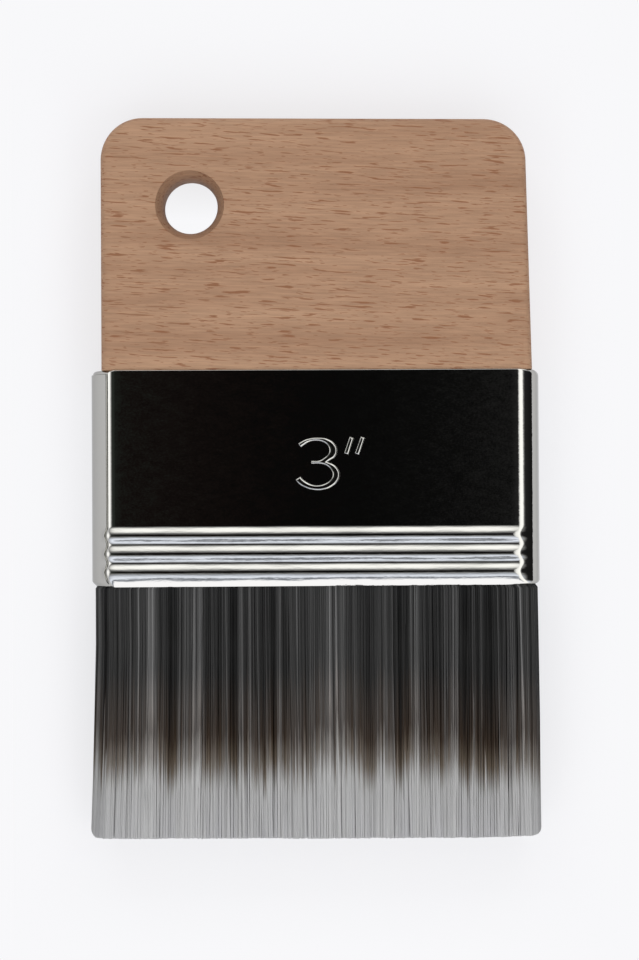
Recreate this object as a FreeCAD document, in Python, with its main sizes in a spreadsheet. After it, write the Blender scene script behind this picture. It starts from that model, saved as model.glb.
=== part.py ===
import FreeCAD, Part
import math
import os

import Sketcher
from FreeCAD import Vector

# A flat cleaning brush: a wooden block handle, a wrapped sheet-steel ferrule and two banks of
# filament set in resin. It lies on its back: X runs across its width, Y towards the handle's
# end, Z up out of its front face. Every sub-part is drawn with the ferrule's mouth at Y = 0 and
# the mid-plane between front and back at Z = 0, and then placed as one.

SIZES = {
    # The ferrule's wrap, measured over one layer of sheet
    "ferrule_width": 75.8,
    "ferrule_thickness": 17.5,
    "ferrule_height": 36.4,
    "sheet": 0.4,
    "left_end_radius": 12.9,
    "right_end_radius": 30.0,
    "left_corner_radius": 1.6,
    "right_corner_radius": 3.5,
    # The rolled beads and the curled rim
    "bead_height": 0.6,
    "bead_width": 2.9,
    "bead_pitch": 3.1,
    "bead_count": 3,
    "bead_margin": 2.4,
    "bead_end": 4.6,
    "rim_curl": 0.8,
    "rim_lip": 0.4,
    "left_top_curl": 0.6,
    "right_top_curl": 1.1,
    # The lapped seam on the left narrow end, from its root near the back to its free edge, which
    # lies this far behind the front face
    "lap_root": 5.0,
    "lap_step": 1.0,
    "lap_setback": 0.7,
    # The handle, narrower than the ferrule by a step at each narrow end
    "shoulder_step": 1.4,
    "handle_length": 42.4,
    "handle_corner_radius": 7.1,
    "handle_edge_radius": 1.2,
    "side_taper": 0.95,
    "tenon_length": 17.0,
    "hole_diameter": 10.0,
    "hole_inset": 15.0,
    "hole_edge_cut": 0.55,
    "hole_edge_sanding": 0.2,
    # What the ferrule holds
    "resin_height": 9.0,
    "heel_depth": 5.0,
    "heel_cover": 0.6,
    "spacer_end_gap": 5.9,
    "spacer_thickness": 3.0,
    "spacer_toe_thickness": 1.2,
    "spacer_setback": 3.0,
    # The filament
    "filament_length": 42.3,
    "swell": 0.75,
    "swell_drop": 1.3,
    "tip_flare": 0.6,
    "tip_thickness": 16.4,
    "tip_skew": 0.45,
    "left_tip_radius": 1.3,
    "right_tip_radius": 2.0,
    "clump_pitch": 2.3,
    "clump_depth": 0.4,
    "strand_pitch": 1.37,
    "strand_depth": 0.22,
    "notch_pitch": 1.9,
    "notch_depth": 0.7,
    # The brads
    "brad_spacing": 44.0,
    "brad_drop": 8.0,
    "brad_head_diameter": 2.6,
    "brad_head_thickness": 0.3,
    "brad_diameter": 1.2,
    "brad_length": 11.0,
    # Clearance between pieces that seat on or in each other
    "fit_gap": 0.05,
}

FRONT = "Sizes.ferrule_thickness / 2"
INSIDE = "Sizes.sheet"
SEATED = "(Sizes.sheet + Sizes.fit_gap)"
MOUTH = "(Sizes.sheet + Sizes.rim_lip)"
BEAD_RADIUS = "((Sizes.bead_width^2 / 4 + Sizes.bead_height^2) / (2 * Sizes.bead_height))"
BEAD_DEPTH = f"({FRONT} + Sizes.bead_height - {BEAD_RADIUS})"
BEAD_REACH = "(Sizes.ferrule_width / 2 - Sizes.bead_end)"
HANDLE_HALF = "(Sizes.ferrule_width / 2 - Sizes.shoulder_step)"
RESIN_END = "(Sizes.ferrule_height - Sizes.tenon_length - Sizes.resin_height)"
HEEL_END = "(" + RESIN_END + " + Sizes.heel_depth)"
# Cutting forms reach this far past the stock that they cut
OVERRUN = 2.0
# The banks are made this much too long and then trimmed, as a real head is
TRIMMED_OFF = 1.0

doc = FreeCAD.newDocument("cleaning_brush")


def make_sheet():
    """The driving dimensions, one alias for each."""
    table = doc.addObject("Spreadsheet::Sheet", "Sizes")
    for row, (alias, size) in enumerate(SIZES.items(), start=1):
        table.set(f"A{row}", alias)
        table.set(f"B{row}", str(size))
        table.setAlias(f"B{row}", alias)
    doc.recompute()
    return table


sizes = make_sheet()


def value(expression):
    """What an expression of the sheet's sizes comes to now."""
    return float(sizes.evalExpression(expression))


def new_body(name, placed=True):
    """A body. A placed one is moved so that the whole brush is centred over its resting plane."""
    body = doc.addObject("PartDesign::Body", name)
    body.Label = name
    if placed:
        place(body)
    return body


def place(piece):
    """Seats the shared drawing frame: centred along Y, with the back's beads at Z = 0."""
    total = "(Sizes.filament_length + Sizes.ferrule_height + Sizes.handle_length)"
    piece.setExpression("Placement.Base.y", f"Sizes.filament_length - {total} / 2")
    piece.setExpression("Placement.Base.z", f"{FRONT} + Sizes.bead_height")


def origin_part(body, role):
    """One of a body's own planes or axes."""
    return next(f for f in body.Origin.OriginFeatures if f.Role == role)


def new_sketch(body, name, plane, offset="0", shift="0"):
    """A sketch on an origin plane, moved off it by offset and up its own Y axis by shift."""
    sketch = body.newObject("Sketcher::SketchObject", name)
    sketch.AttachmentSupport = [(origin_part(body, plane), "")]
    sketch.MapMode = "FlatFace"
    sketch.setExpression("AttachmentOffset.Base.z", offset)
    sketch.setExpression("AttachmentOffset.Base.y", shift)
    return sketch


def bind(sketch, kind, *where, size):
    """Adds a dimension to a sketch and ties it to an expression."""
    index = sketch.addConstraint(Sketcher.Constraint(kind, *where, value(size)))
    sketch.setExpression(f"Constraints[{index}]", size)


def relate(sketch, *relations):
    """Adds constraints without a dimension."""
    for relation in relations:
        sketch.addConstraint(Sketcher.Constraint(*relation))


def arc(centre, radius, start, end):
    """Counter-clockwise arc between two angles in degrees."""
    circle = Part.Circle(Vector(*centre, 0), Vector(0, 0, 1), radius)
    return Part.ArcOfCircle(circle, math.radians(start), math.radians(end))


def line(start, end):
    return Part.LineSegment(Vector(*start, 0), Vector(*end, 0))


def corner_centre(centre_x, radius, height, corner, side):
    """Centre of a corner arc that touches a level line and a narrow end's arc from inside."""
    rise = height - corner
    return centre_x + side * math.sqrt((radius - corner) ** 2 - rise**2), rise


def wrap_section(body, name, y, inset, corner_cut, high=None):
    """The ferrule's section moved in by inset, on the XZ plane at height y above the mouth.

    Its broad faces are level lines and its narrow ends are arcs centred on the mid-plane, with
    rounded corners between them.
    """
    # The XZ plane faces -Y, so a distance along +Y counts down from it
    sketch = new_sketch(body, name, "XZ_Plane", f"-({y})")
    half = f"(Sizes.ferrule_width / 2 - {inset})"
    top = high or f"({FRONT} - {inset})"
    ends = {}
    for side, end in ((1, "right"), (-1, "left")):
        radius = f"(Sizes.{end}_end_radius - {inset})"
        corner = f"(Sizes.{end}_corner_radius - {corner_cut})"
        ends[side] = (radius, corner, f"({half} - {radius})")
    level = value(top)

    def solved(side):
        radius, corner, reach = (value(size) for size in ends[side])
        middle = corner_centre(side * reach, radius, level, corner, side)
        angle = math.degrees(math.atan2(middle[1], side * (middle[0] - side * reach)))
        return radius, corner, side * reach, middle, angle

    right, left = solved(1), solved(-1)
    sketch.addGeometry(line((left[3][0], level), (right[3][0], level)))
    sketch.addGeometry(arc(right[3], right[1], right[4], 90))
    sketch.addGeometry(arc((right[2], 0), right[0], -right[4], right[4]))
    sketch.addGeometry(arc((right[3][0], -right[3][1]), right[1], -90, -right[4]))
    sketch.addGeometry(line((right[3][0], -level), (left[3][0], -level)))
    sketch.addGeometry(arc((left[3][0], -left[3][1]), left[1], 180 + left[4], 270))
    sketch.addGeometry(arc((left[2], 0), left[0], 180 - left[4], 180 + left[4]))
    sketch.addGeometry(arc(left[3], left[1], 90, 180 - left[4]))
    relate(
        sketch,
        ("Tangent", 0, 2, 1, 2),
        ("Tangent", 1, 1, 2, 2),
        ("Tangent", 3, 2, 2, 1),
        ("Tangent", 4, 1, 3, 1),
        ("Tangent", 5, 2, 4, 2),
        ("Tangent", 6, 2, 5, 1),
        ("Tangent", 6, 1, 7, 2),
        ("Tangent", 7, 1, 0, 1),
        ("Horizontal", 0),
        ("Horizontal", 4),
        ("PointOnObject", 2, 3, -1),
        ("PointOnObject", 6, 3, -1),
    )
    for geometry, side in ((1, 1), (3, 1), (5, -1), (7, -1)):
        bind(sketch, "Radius", geometry, size=ends[side][1])
    bind(sketch, "Radius", 2, size=ends[1][0])
    bind(sketch, "Radius", 6, size=ends[-1][0])
    bind(sketch, "DistanceX", -1, 1, 2, 3, size=ends[1][2])
    bind(sketch, "DistanceX", 6, 3, -1, 1, size=ends[-1][2])
    bind(sketch, "DistanceY", -1, 1, 0, 1, size=top)
    bind(sketch, "DistanceY", 4, 1, -1, 1, size=top)
    return sketch


def bank_section(body, name, y, inset, low, high):
    """Half the section as a polygon between two levels, at height y above the mouth.

    The corners of its narrow ends lie on the ferrule's section moved in by inset.
    """
    sketch = new_sketch(body, name, "XZ_Plane", f"-({y})")
    corners = []
    for side, end in ((1, "right"), (-1, "left")):
        radius = f"(Sizes.{end}_end_radius - {inset})"
        corner = f"(Sizes.{end}_corner_radius - {INSIDE})"
        reach = f"Sizes.ferrule_width / 2 - {inset} - {radius}"
        angle = f"asin(({high} - {corner}) / ({radius} - {corner}))"
        walk = [
            (f"{reach} + sqrt({radius}^2 - {low}^2)", low),
            (f"{reach} + {radius} * cos({angle} / 2)", f"{radius} * sin({angle} / 2)"),
            (f"{reach} + {radius} * cos({angle})", f"{radius} * sin({angle})"),
            (f"{reach} + ({radius} - {corner}) * cos({angle})", high),
        ]
        corners += [(side, x, z) for x, z in walk[::side]]
    points = [(side * value(x), value(z)) for side, x, z in corners]
    for start, end in zip(points, points[1:] + points[:1]):
        sketch.addGeometry(line(start, end))
    count = len(points)
    relate(sketch, *(("Coincident", i, 2, (i + 1) % count, 1) for i in range(count)))
    for i, (side, x, z) in enumerate(corners):
        across = (-1, 1, i, 1) if side > 0 else (i, 1, -1, 1)
        bind(sketch, "DistanceX", *across, size=x)
        bind(sketch, "DistanceY", -1, 1, i, 1, size=z)
    return sketch


def pad(body, name, sketch, length, symmetric=False, reverse=False):
    feature = body.newObject("PartDesign::Pad", name)
    feature.Profile = sketch
    feature.setExpression("Length", length)
    feature.SideType = "Symmetric" if symmetric else "One side"
    feature.Reversed = reverse
    return feature


def pocket(body, name, sketch, length=None, reverse=False):
    """A cut to a depth, or right through to both sides where no length is given."""
    feature = body.newObject("PartDesign::Pocket", name)
    feature.Profile = sketch
    if length is None:
        feature.SideType = "Symmetric"
        feature.Type = "ThroughAll"
    else:
        feature.setExpression("Length", length)
    feature.Reversed = reverse
    return feature


def pattern(body, name, feature, axis, pitch, count):
    """Repeats one feature along an axis of the body."""
    rows = body.newObject("PartDesign::LinearPattern", name)
    rows.Originals = [feature]
    rows.Direction = (origin_part(body, axis), [""])
    rows.Mode = "Spacing"
    rows.setExpression("Offset", pitch)
    rows.setExpression("Occurrences", count)
    body.Tip = rows
    return rows


def soften(body, kind, name, chosen, size):
    """Takes off the tip's edges that chosen accepts, by a fillet or a chamfer."""
    doc.recompute()
    base = body.Tip
    names = [f"Edge{i}" for i, edge in enumerate(base.Shape.Edges, 1) if chosen(edge)]
    if not names:
        raise RuntimeError(f"{body.Label}: {name} finds no edge")
    feature = body.newObject("PartDesign::" + kind, name)
    feature.Base = (base, names)
    feature.setExpression("Radius" if kind == "Fillet" else "Size", size)
    return feature


def lies_at(edge, axis, position):
    """Whether the whole edge lies at one position along an axis, such as "y"."""
    box = edge.BoundBox
    ends = getattr(box, axis.upper() + "Min"), getattr(box, axis.upper() + "Max")
    return all(abs(end - position) < 1e-4 for end in ends)


def round_bar(body):
    """A round-ended bar that runs along the first bead, with its axis below the sheet."""
    sketch = new_sketch(body, "bead_outline", "XY_Plane", BEAD_DEPTH, "Sizes.bead_margin")
    r, x = value(BEAD_RADIUS), value(BEAD_REACH)
    sketch.addGeometry(line((-x - r, 0), (x + r, 0)))
    sketch.addGeometry(arc((x, 0), r, 0, 90))
    sketch.addGeometry(line((x, r), (-x, r)))
    sketch.addGeometry(arc((-x, 0), r, 90, 180))
    relate(
        sketch,
        ("Coincident", 0, 2, 1, 1),
        ("Tangent", 1, 2, 2, 1),
        ("Tangent", 2, 2, 3, 1),
        ("Coincident", 3, 2, 0, 1),
        ("PointOnObject", 0, 1, -1),
        ("PointOnObject", 0, 2, -1),
        ("PointOnObject", 1, 3, -1),
        ("PointOnObject", 3, 3, -1),
    )
    bind(sketch, "Radius", 1, size=BEAD_RADIUS)
    bind(sketch, "Radius", 3, size=BEAD_RADIUS)
    bind(sketch, "DistanceX", -1, 1, 1, 3, size=BEAD_REACH)
    bind(sketch, "DistanceX", 3, 3, -1, 1, size=BEAD_REACH)
    bar = body.newObject("PartDesign::Revolution", "bead_bar")
    bar.Profile = sketch
    bar.ReferenceAxis = (sketch, ["H_Axis"])
    bar.Angle = 360
    return bar


def square_bar(body, inset):
    """The same bar thinner by inset and with square ends, which the ferrule's inside can have."""
    sketch = new_sketch(body, "bead_circle", "YZ_Plane")
    radius = f"({BEAD_RADIUS} - {inset})"
    centre = Vector(value("Sizes.bead_margin"), value(BEAD_DEPTH), 0)
    sketch.addGeometry(Part.Circle(centre, Vector(0, 0, 1), value(radius)))
    bind(sketch, "Radius", 0, size=radius)
    bind(sketch, "DistanceX", -1, 1, 0, 3, size="Sizes.bead_margin")
    bind(sketch, "DistanceY", -1, 1, 0, 3, size=BEAD_DEPTH)
    return pad(body, "bead_rod", sketch, f"2 * {BEAD_REACH}", symmetric=True)


def add_beads(body, bar):
    """Steps the first bead's bar along the ferrule and mirrors the row to its back."""
    doc.recompute()
    beads = body.newObject("PartDesign::MultiTransform", body.Label + "_beads")
    beads.Originals = [bar]
    rows = doc.addObject("PartDesign::LinearPattern", body.Label + "_bead_rows")
    rows.Direction = (origin_part(body, "Y_Axis"), [""])
    rows.Mode = "Spacing"
    rows.setExpression("Offset", "Sizes.bead_pitch")
    rows.setExpression("Occurrences", "Sizes.bead_count")
    sides = doc.addObject("PartDesign::Mirrored", body.Label + "_bead_sides")
    sides.MirrorPlane = (origin_part(body, "XY_Plane"), [""])
    beads.Transformations = [rows, sides]
    body.Tip = beads


def wrap_form(name, inset):
    """One skin of the ferrule, filled: its outside, or its inside moved in by the sheet."""
    body = new_body(name, placed=False)
    section = wrap_section(body, name + "_section", inset, inset, inset)
    pad(body, name + "_block", section, f"Sizes.ferrule_height - 2 * {inset}", reverse=True)

    def mouth_edge(edge):
        return lies_at(edge, "y", value(inset))

    if inset == "0":
        soften(body, "Fillet", "curled_rim", mouth_edge, "Sizes.rim_curl")
        add_beads(body, round_bar(body))
    else:
        soften(body, "Chamfer", "rim_inside", mouth_edge, f"(Sizes.rim_curl - {inset}) / 2")
        add_beads(body, square_bar(body, inset))
    return body


def curl_corner(body, side, inset):
    """Rounds the top corner of a narrow end, where the sheet's edge curls in to the tenon."""
    end = "right" if side > 0 else "left"
    sketch = new_sketch(body, f"{body.Label}_{end}_curl", "XY_Plane")
    radius = f"(Sizes.{end}_top_curl - {inset})"
    reach = f"(Sizes.ferrule_width / 2 - Sizes.{end}_top_curl)"
    height = f"(Sizes.ferrule_height - Sizes.{end}_top_curl)"
    r, x, y = value(radius), side * value(reach), value(height)
    out, above = r + OVERRUN, y + r + OVERRUN
    sketch.addGeometry(arc((x, y), r, *((0, 90) if side > 0 else (90, 180))))
    walk = [(x, y + r), (x, above), (x + side * out, above), (x + side * out, y)]
    walk.append((x + side * r, y))
    for start, stop in zip(walk, walk[1:]):
        sketch.addGeometry(line(start, stop))
    top, foot = (2, 1) if side > 0 else (1, 2)
    relate(sketch, ("Coincident", 0, top, 1, 1), ("Coincident", 4, 2, 0, foot))
    relate(sketch, *(("Coincident", i, 2, i + 1, 1) for i in (1, 2, 3)))
    relate(sketch, ("Vertical", 1), ("Horizontal", 2), ("Vertical", 3), ("Horizontal", 4))
    relate(sketch, ("Vertical", 0, 3, 0, top), ("Horizontal", 0, 3, 0, foot))
    across = (-1, 1, 0, 3) if side > 0 else (0, 3, -1, 1)
    bind(sketch, "Radius", 0, size=radius)
    bind(sketch, "DistanceX", *across, size=reach)
    bind(sketch, "DistanceY", -1, 1, 0, 3, size=height)
    outward = (0, 3, 2, 2) if side > 0 else (2, 2, 0, 3)
    bind(sketch, "DistanceX", *outward, size=f"{radius} + {OVERRUN}")
    bind(sketch, "DistanceY", 0, 3, 1, 2, size=f"{radius} + {OVERRUN}")
    pocket(body, f"{body.Label}_{end}_curl_cut", sketch)


def add_lap(body):
    """The seam: the back's sheet steps up and runs round the left narrow end over the front's."""
    sketch = new_sketch(body, "lap_section", "XZ_Plane", "-Sizes.rim_curl")
    free_edge = f"{FRONT} - Sizes.lap_setback"
    centre = "(Sizes.ferrule_width / 2 - Sizes.left_end_radius)"
    root_reach = f"{centre} + sqrt(Sizes.left_end_radius^2 - Sizes.lap_root^2)"
    within = f"{centre} + Sizes.left_end_radius / 2"
    radius, root = value("Sizes.left_end_radius + Sizes.sheet"), value("Sizes.lap_root")
    stepped, edge = value("Sizes.lap_root - Sizes.lap_step"), value(free_edge)
    x, edge_angle = -value(centre), math.asin(edge / radius)
    step_angle = math.asin(stepped / radius)
    top = x - radius * math.cos(edge_angle), edge
    step = x - radius * math.cos(step_angle), -stepped
    sketch.addGeometry(
        arc((x, 0), radius, 180 - math.degrees(edge_angle), 180 + math.degrees(step_angle))
    )
    walk = [step, (-value(root_reach), -root), (-value(within), -root), (-value(within), edge), top]
    for start, stop in zip(walk, walk[1:]):
        sketch.addGeometry(line(start, stop))
    relate(sketch, *(("Coincident", i, 2, (i + 1) % 5, 1) for i in range(5)))
    relate(sketch, ("Horizontal", 2), ("Vertical", 3), ("Horizontal", 4))
    relate(sketch, ("PointOnObject", 0, 3, -1))
    bind(sketch, "DistanceX", 0, 3, -1, 1, size=centre)
    bind(sketch, "Radius", 0, size="Sizes.left_end_radius + Sizes.sheet")
    bind(sketch, "DistanceY", -1, 1, 0, 1, size=free_edge)
    bind(sketch, "DistanceY", 0, 2, -1, 1, size="Sizes.lap_root - Sizes.lap_step")
    bind(sketch, "DistanceY", 1, 2, -1, 1, size="Sizes.lap_root")
    bind(sketch, "DistanceX", 1, 2, -1, 1, size=root_reach)
    bind(sketch, "DistanceX", 3, 1, -1, 1, size=within)
    pad(body, "lap", sketch, "Sizes.ferrule_height - Sizes.rim_curl", reverse=True)


def brad_drill(radius, depth, name):
    """Two straight holes from the back through the ferrule into the tenon."""
    holes = []
    for side in (-1, 1):
        hole = doc.addObject("Part::Cylinder", f"{name}_{'left' if side < 0 else 'right'}")
        hole.setExpression("Radius", radius)
        hole.setExpression("Height", depth)
        brad_place(hole, side, "Sizes.brad_head_thickness")
        holes.append(hole)
    return holes


def brad_place(piece, side, head):
    """Sets a piece's own Z axis on a brad's axis, its start head below the back's sheet."""
    piece.setExpression("Placement.Base.x", f"{side} * Sizes.brad_spacing / 2")
    piece.setExpression("Placement.Base.y", "Sizes.ferrule_height - Sizes.brad_drop")
    piece.setExpression("Placement.Base.z", f"-{FRONT} - ({head})")


def make_ferrule():
    """The wrap's outside, less its inside, its mouth, its throat round the tenon and its holes."""
    outside = wrap_form("ferrule_outside", "0")
    add_lap(outside)
    inside = wrap_form("ferrule_inside", INSIDE)
    for body, inset in ((outside, "0"), (inside, INSIDE)):
        for side in (-1, 1):
            curl_corner(body, side, inset)
    mouth = new_body("ferrule_mouth", placed=False)
    opening = wrap_section(mouth, "mouth_section", f"-{OVERRUN}", MOUTH, INSIDE)
    pad(mouth, "mouth_opening", opening, f"2 * {OVERRUN}", reverse=True)
    throat = new_body("ferrule_throat", placed=False)
    hug = "(Sizes.shoulder_step - Sizes.fit_gap)"
    collar = wrap_section(
        throat, "throat_section", f"Sizes.ferrule_height - {OVERRUN}", hug, INSIDE,
        high=f"({FRONT} - {INSIDE})",
    )
    pad(throat, "throat_opening", collar, f"2 * {OVERRUN}", reverse=True)
    tools = doc.addObject("Part::MultiFuse", "ferrule_hollow")
    drill = brad_drill(
        "Sizes.brad_diameter / 2 + Sizes.fit_gap", "Sizes.ferrule_thickness / 2", "sheet_hole"
    )
    tools.Shapes = [inside, mouth, throat, *drill]
    ferrule = doc.addObject("Part::Cut", "ferrule")
    ferrule.Base = outside
    ferrule.Tool = tools
    place(ferrule)
    return ferrule


def handle_outline(body):
    """Front view of the block: straight left side, right side leaning in, round top corners."""
    sketch = new_sketch(body, "handle_outline", "XY_Plane")
    half, shoulder = value(HANDLE_HALF), value("Sizes.ferrule_height")
    top = value("Sizes.ferrule_height + Sizes.handle_length")
    taper, radius = value("Sizes.side_taper"), value("Sizes.handle_corner_radius")
    lean = math.degrees(math.atan2(taper, top - shoulder))
    right = half - taper - radius
    sketch.addGeometry(line((-half, shoulder), (half, shoulder)))
    sketch.addGeometry(line((half, shoulder), (right + radius, top - radius)))
    sketch.addGeometry(arc((right, top - radius), radius, lean, 90))
    sketch.addGeometry(line((right, top), (-half + radius, top)))
    sketch.addGeometry(arc((-half + radius, top - radius), radius, 90, 180))
    sketch.addGeometry(line((-half, top - radius), (-half, shoulder)))
    relate(
        sketch,
        ("Coincident", 0, 2, 1, 1),
        ("Tangent", 1, 2, 2, 1),
        ("Tangent", 2, 2, 3, 1),
        ("Tangent", 3, 2, 4, 1),
        ("Tangent", 4, 2, 5, 1),
        ("Coincident", 5, 2, 0, 1),
        ("Horizontal", 0),
        ("Horizontal", 3),
        ("Vertical", 5),
        ("Equal", 2, 4),
    )
    leaned = f"{HANDLE_HALF} - Sizes.side_taper - Sizes.handle_corner_radius"
    bind(sketch, "Radius", 2, size="Sizes.handle_corner_radius")
    bind(sketch, "DistanceX", 0, 1, -1, 1, size=HANDLE_HALF)
    bind(sketch, "DistanceX", -1, 1, 0, 2, size=HANDLE_HALF)
    bind(sketch, "DistanceX", -1, 1, 2, 3, size=leaned)
    bind(sketch, "DistanceY", -1, 1, 0, 1, size="Sizes.ferrule_height")
    bind(sketch, "DistanceY", -1, 1, 3, 1, size="Sizes.ferrule_height + Sizes.handle_length")
    return sketch


def make_handle():
    """One block of wood: the grip above the ferrule and the tenon that fills it below."""
    blank = new_body("handle_blank", placed=False)
    thickness = f"2 * ({FRONT} - {SEATED})"
    pad(blank, "handle_block", handle_outline(blank), thickness, symmetric=True)
    face, shoulder = value(thickness) / 2, value("Sizes.ferrule_height")

    def on_a_face(edge):
        return lies_at(edge, "z", face) or lies_at(edge, "z", -face)

    soften(
        blank, "Fillet", "handle_edges",
        lambda edge: on_a_face(edge) and not lies_at(edge, "y", shoulder),
        "Sizes.handle_edge_radius",
    )
    tenon = wrap_section(
        blank, "tenon_section", "Sizes.ferrule_height", "Sizes.shoulder_step", INSIDE,
        high=f"({FRONT} - {SEATED})",
    )
    pad(blank, "tenon", tenon, "Sizes.tenon_length")
    hole = new_sketch(blank, "hang_hole_circle", "XY_Plane")
    across = f"{HANDLE_HALF} - Sizes.hole_inset"
    height = "Sizes.ferrule_height + Sizes.handle_length - Sizes.hole_inset"
    radius = "Sizes.hole_diameter / 2"
    centre = Vector(-value(across), value(height), 0)
    hole.addGeometry(Part.Circle(centre, Vector(0, 0, 1), value(radius)))
    bind(hole, "Radius", 0, size=radius)
    bind(hole, "DistanceX", 0, 3, -1, 1, size=across)
    bind(hole, "DistanceY", -1, 1, 0, 3, size=height)
    pocket(blank, "hang_hole", hole)

    def round_the_hole(edge):
        if not isinstance(edge.Curve, Part.Circle):
            return False
        middle = edge.Curve.Center
        return math.hypot(middle.x - centre.x, middle.y - centre.y) < 1e-4

    # The rims are countersunk, and then the countersinks' own edges are sanded off
    soften(blank, "Chamfer", "hole_edges_cut", round_the_hole, "Sizes.hole_edge_cut")
    soften(blank, "Chamfer", "hole_edges_sanded", round_the_hole, "Sizes.hole_edge_sanding")
    tools = doc.addObject("Part::MultiFuse", "pilot_holes")
    tools.Shapes = brad_drill(
        "Sizes.brad_diameter / 2 + Sizes.fit_gap",
        "Sizes.brad_length + Sizes.brad_head_thickness + Sizes.fit_gap",
        "pilot_hole",
    )
    handle = doc.addObject("Part::Cut", "handle")
    handle.Base = blank
    handle.Tool = tools
    place(handle)
    return handle


def heel_levels():
    """Low and high side of a bank's heel, beside the spacer and inside the ferrule."""
    low = "(Sizes.spacer_thickness / 2 + Sizes.fit_gap)"
    high = f"({FRONT} - {SEATED} - Sizes.heel_cover)"
    return low, high


def make_resin():
    """The resin block, poured in below the tenon, with a pocket round each bank's heels."""
    resin = new_body("setting_resin")
    block = wrap_section(resin, "resin_section", RESIN_END, SEATED, INSIDE)
    pad(resin, "resin_block", block, "Sizes.resin_height - Sizes.fit_gap", reverse=True)
    low, high = heel_levels()
    inset = f"({SEATED} + Sizes.heel_cover)"
    heels = bank_section(resin, "heel_section", RESIN_END, inset, low, high)
    front = pocket(resin, "heel_pocket", heels, "Sizes.heel_depth")
    both = resin.newObject("PartDesign::Mirrored", "heel_pockets")
    both.Originals = [front]
    both.MirrorPlane = (origin_part(resin, "XY_Plane"), [""])
    resin.Tip = both
    return resin


def make_spacer():
    """A wedge-shaped strip, thick end on the resin, that parts the banks above the mouth."""
    spacer = new_body("spacer_strip")
    sketch = new_sketch(spacer, "spacer_side", "YZ_Plane")
    heel, toe = value(f"{RESIN_END} - Sizes.fit_gap"), value("Sizes.spacer_setback")
    thick, thin = value("Sizes.spacer_thickness / 2"), value("Sizes.spacer_toe_thickness / 2")
    corners = [(toe, -thin), (heel, -thick), (heel, thick), (toe, thin)]
    for start, end in zip(corners, corners[1:] + corners[:1]):
        sketch.addGeometry(line(start, end))
    relate(sketch, *(("Coincident", i, 2, (i + 1) % 4, 1) for i in range(4)))
    relate(sketch, ("Symmetric", 1, 1, 1, 2, -1), ("Symmetric", 3, 1, 3, 2, -1))
    bind(sketch, "DistanceX", -1, 1, 1, 1, size=f"{RESIN_END} - Sizes.fit_gap")
    bind(sketch, "DistanceX", -1, 1, 3, 2, size="Sizes.spacer_setback")
    bind(sketch, "DistanceY", 1, 1, 1, 2, size="Sizes.spacer_thickness")
    bind(sketch, "DistanceY", 3, 2, 3, 1, size="Sizes.spacer_toe_thickness")
    length = "Sizes.ferrule_width - 2 * Sizes.spacer_end_gap"
    pad(spacer, "spacer_wedge", sketch, length, symmetric=True)
    return spacer


def make_bank():
    """The front bank: a loft from its heels in the resin, past the spacer, out to its tips.

    The mouth squeezes the strands together, and just below it they swell out again.
    """
    bank = new_body("filament_front")
    low, high = heel_levels()
    packed = f"({SEATED} + Sizes.heel_cover)"
    through = f"({MOUTH} + Sizes.fit_gap)"
    tips = f"-Sizes.filament_length - {TRIMMED_OFF}"
    stations = [
        (f"{HEEL_END} - Sizes.fit_gap", packed, low, high),
        (RESIN_END, packed, low, high),
        ("Sizes.spacer_setback", packed, "Sizes.spacer_toe_thickness / 2 + Sizes.fit_gap", high),
        ("Sizes.sheet", through, "Sizes.fit_gap / 2", f"({FRONT} - {through})"),
        ("0", through, "Sizes.fit_gap / 2", f"({FRONT} - {through})"),
        (
            "-Sizes.swell_drop", f"({through} - Sizes.swell)", "Sizes.fit_gap / 2",
            "(Sizes.tip_thickness / 2)",
        ),
        (tips, "(-Sizes.tip_flare)", "Sizes.fit_gap / 2", "(Sizes.tip_thickness / 2)"),
    ]
    sections = [
        bank_section(bank, f"bank_section_{number}", y, inset, under, over)
        for number, (y, inset, under, over) in enumerate(stations, 1)
    ]
    loft = bank.newObject("PartDesign::AdditiveLoft", "bank_loft")
    loft.Profile = sections[0]
    loft.Sections = sections[1:]
    loft.Ruled = True
    trim_tips(bank)
    cut_grooves(bank, "strand", 0)
    cut_grooves(bank, "clump", 1)
    cut_notches(bank)
    return bank


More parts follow.
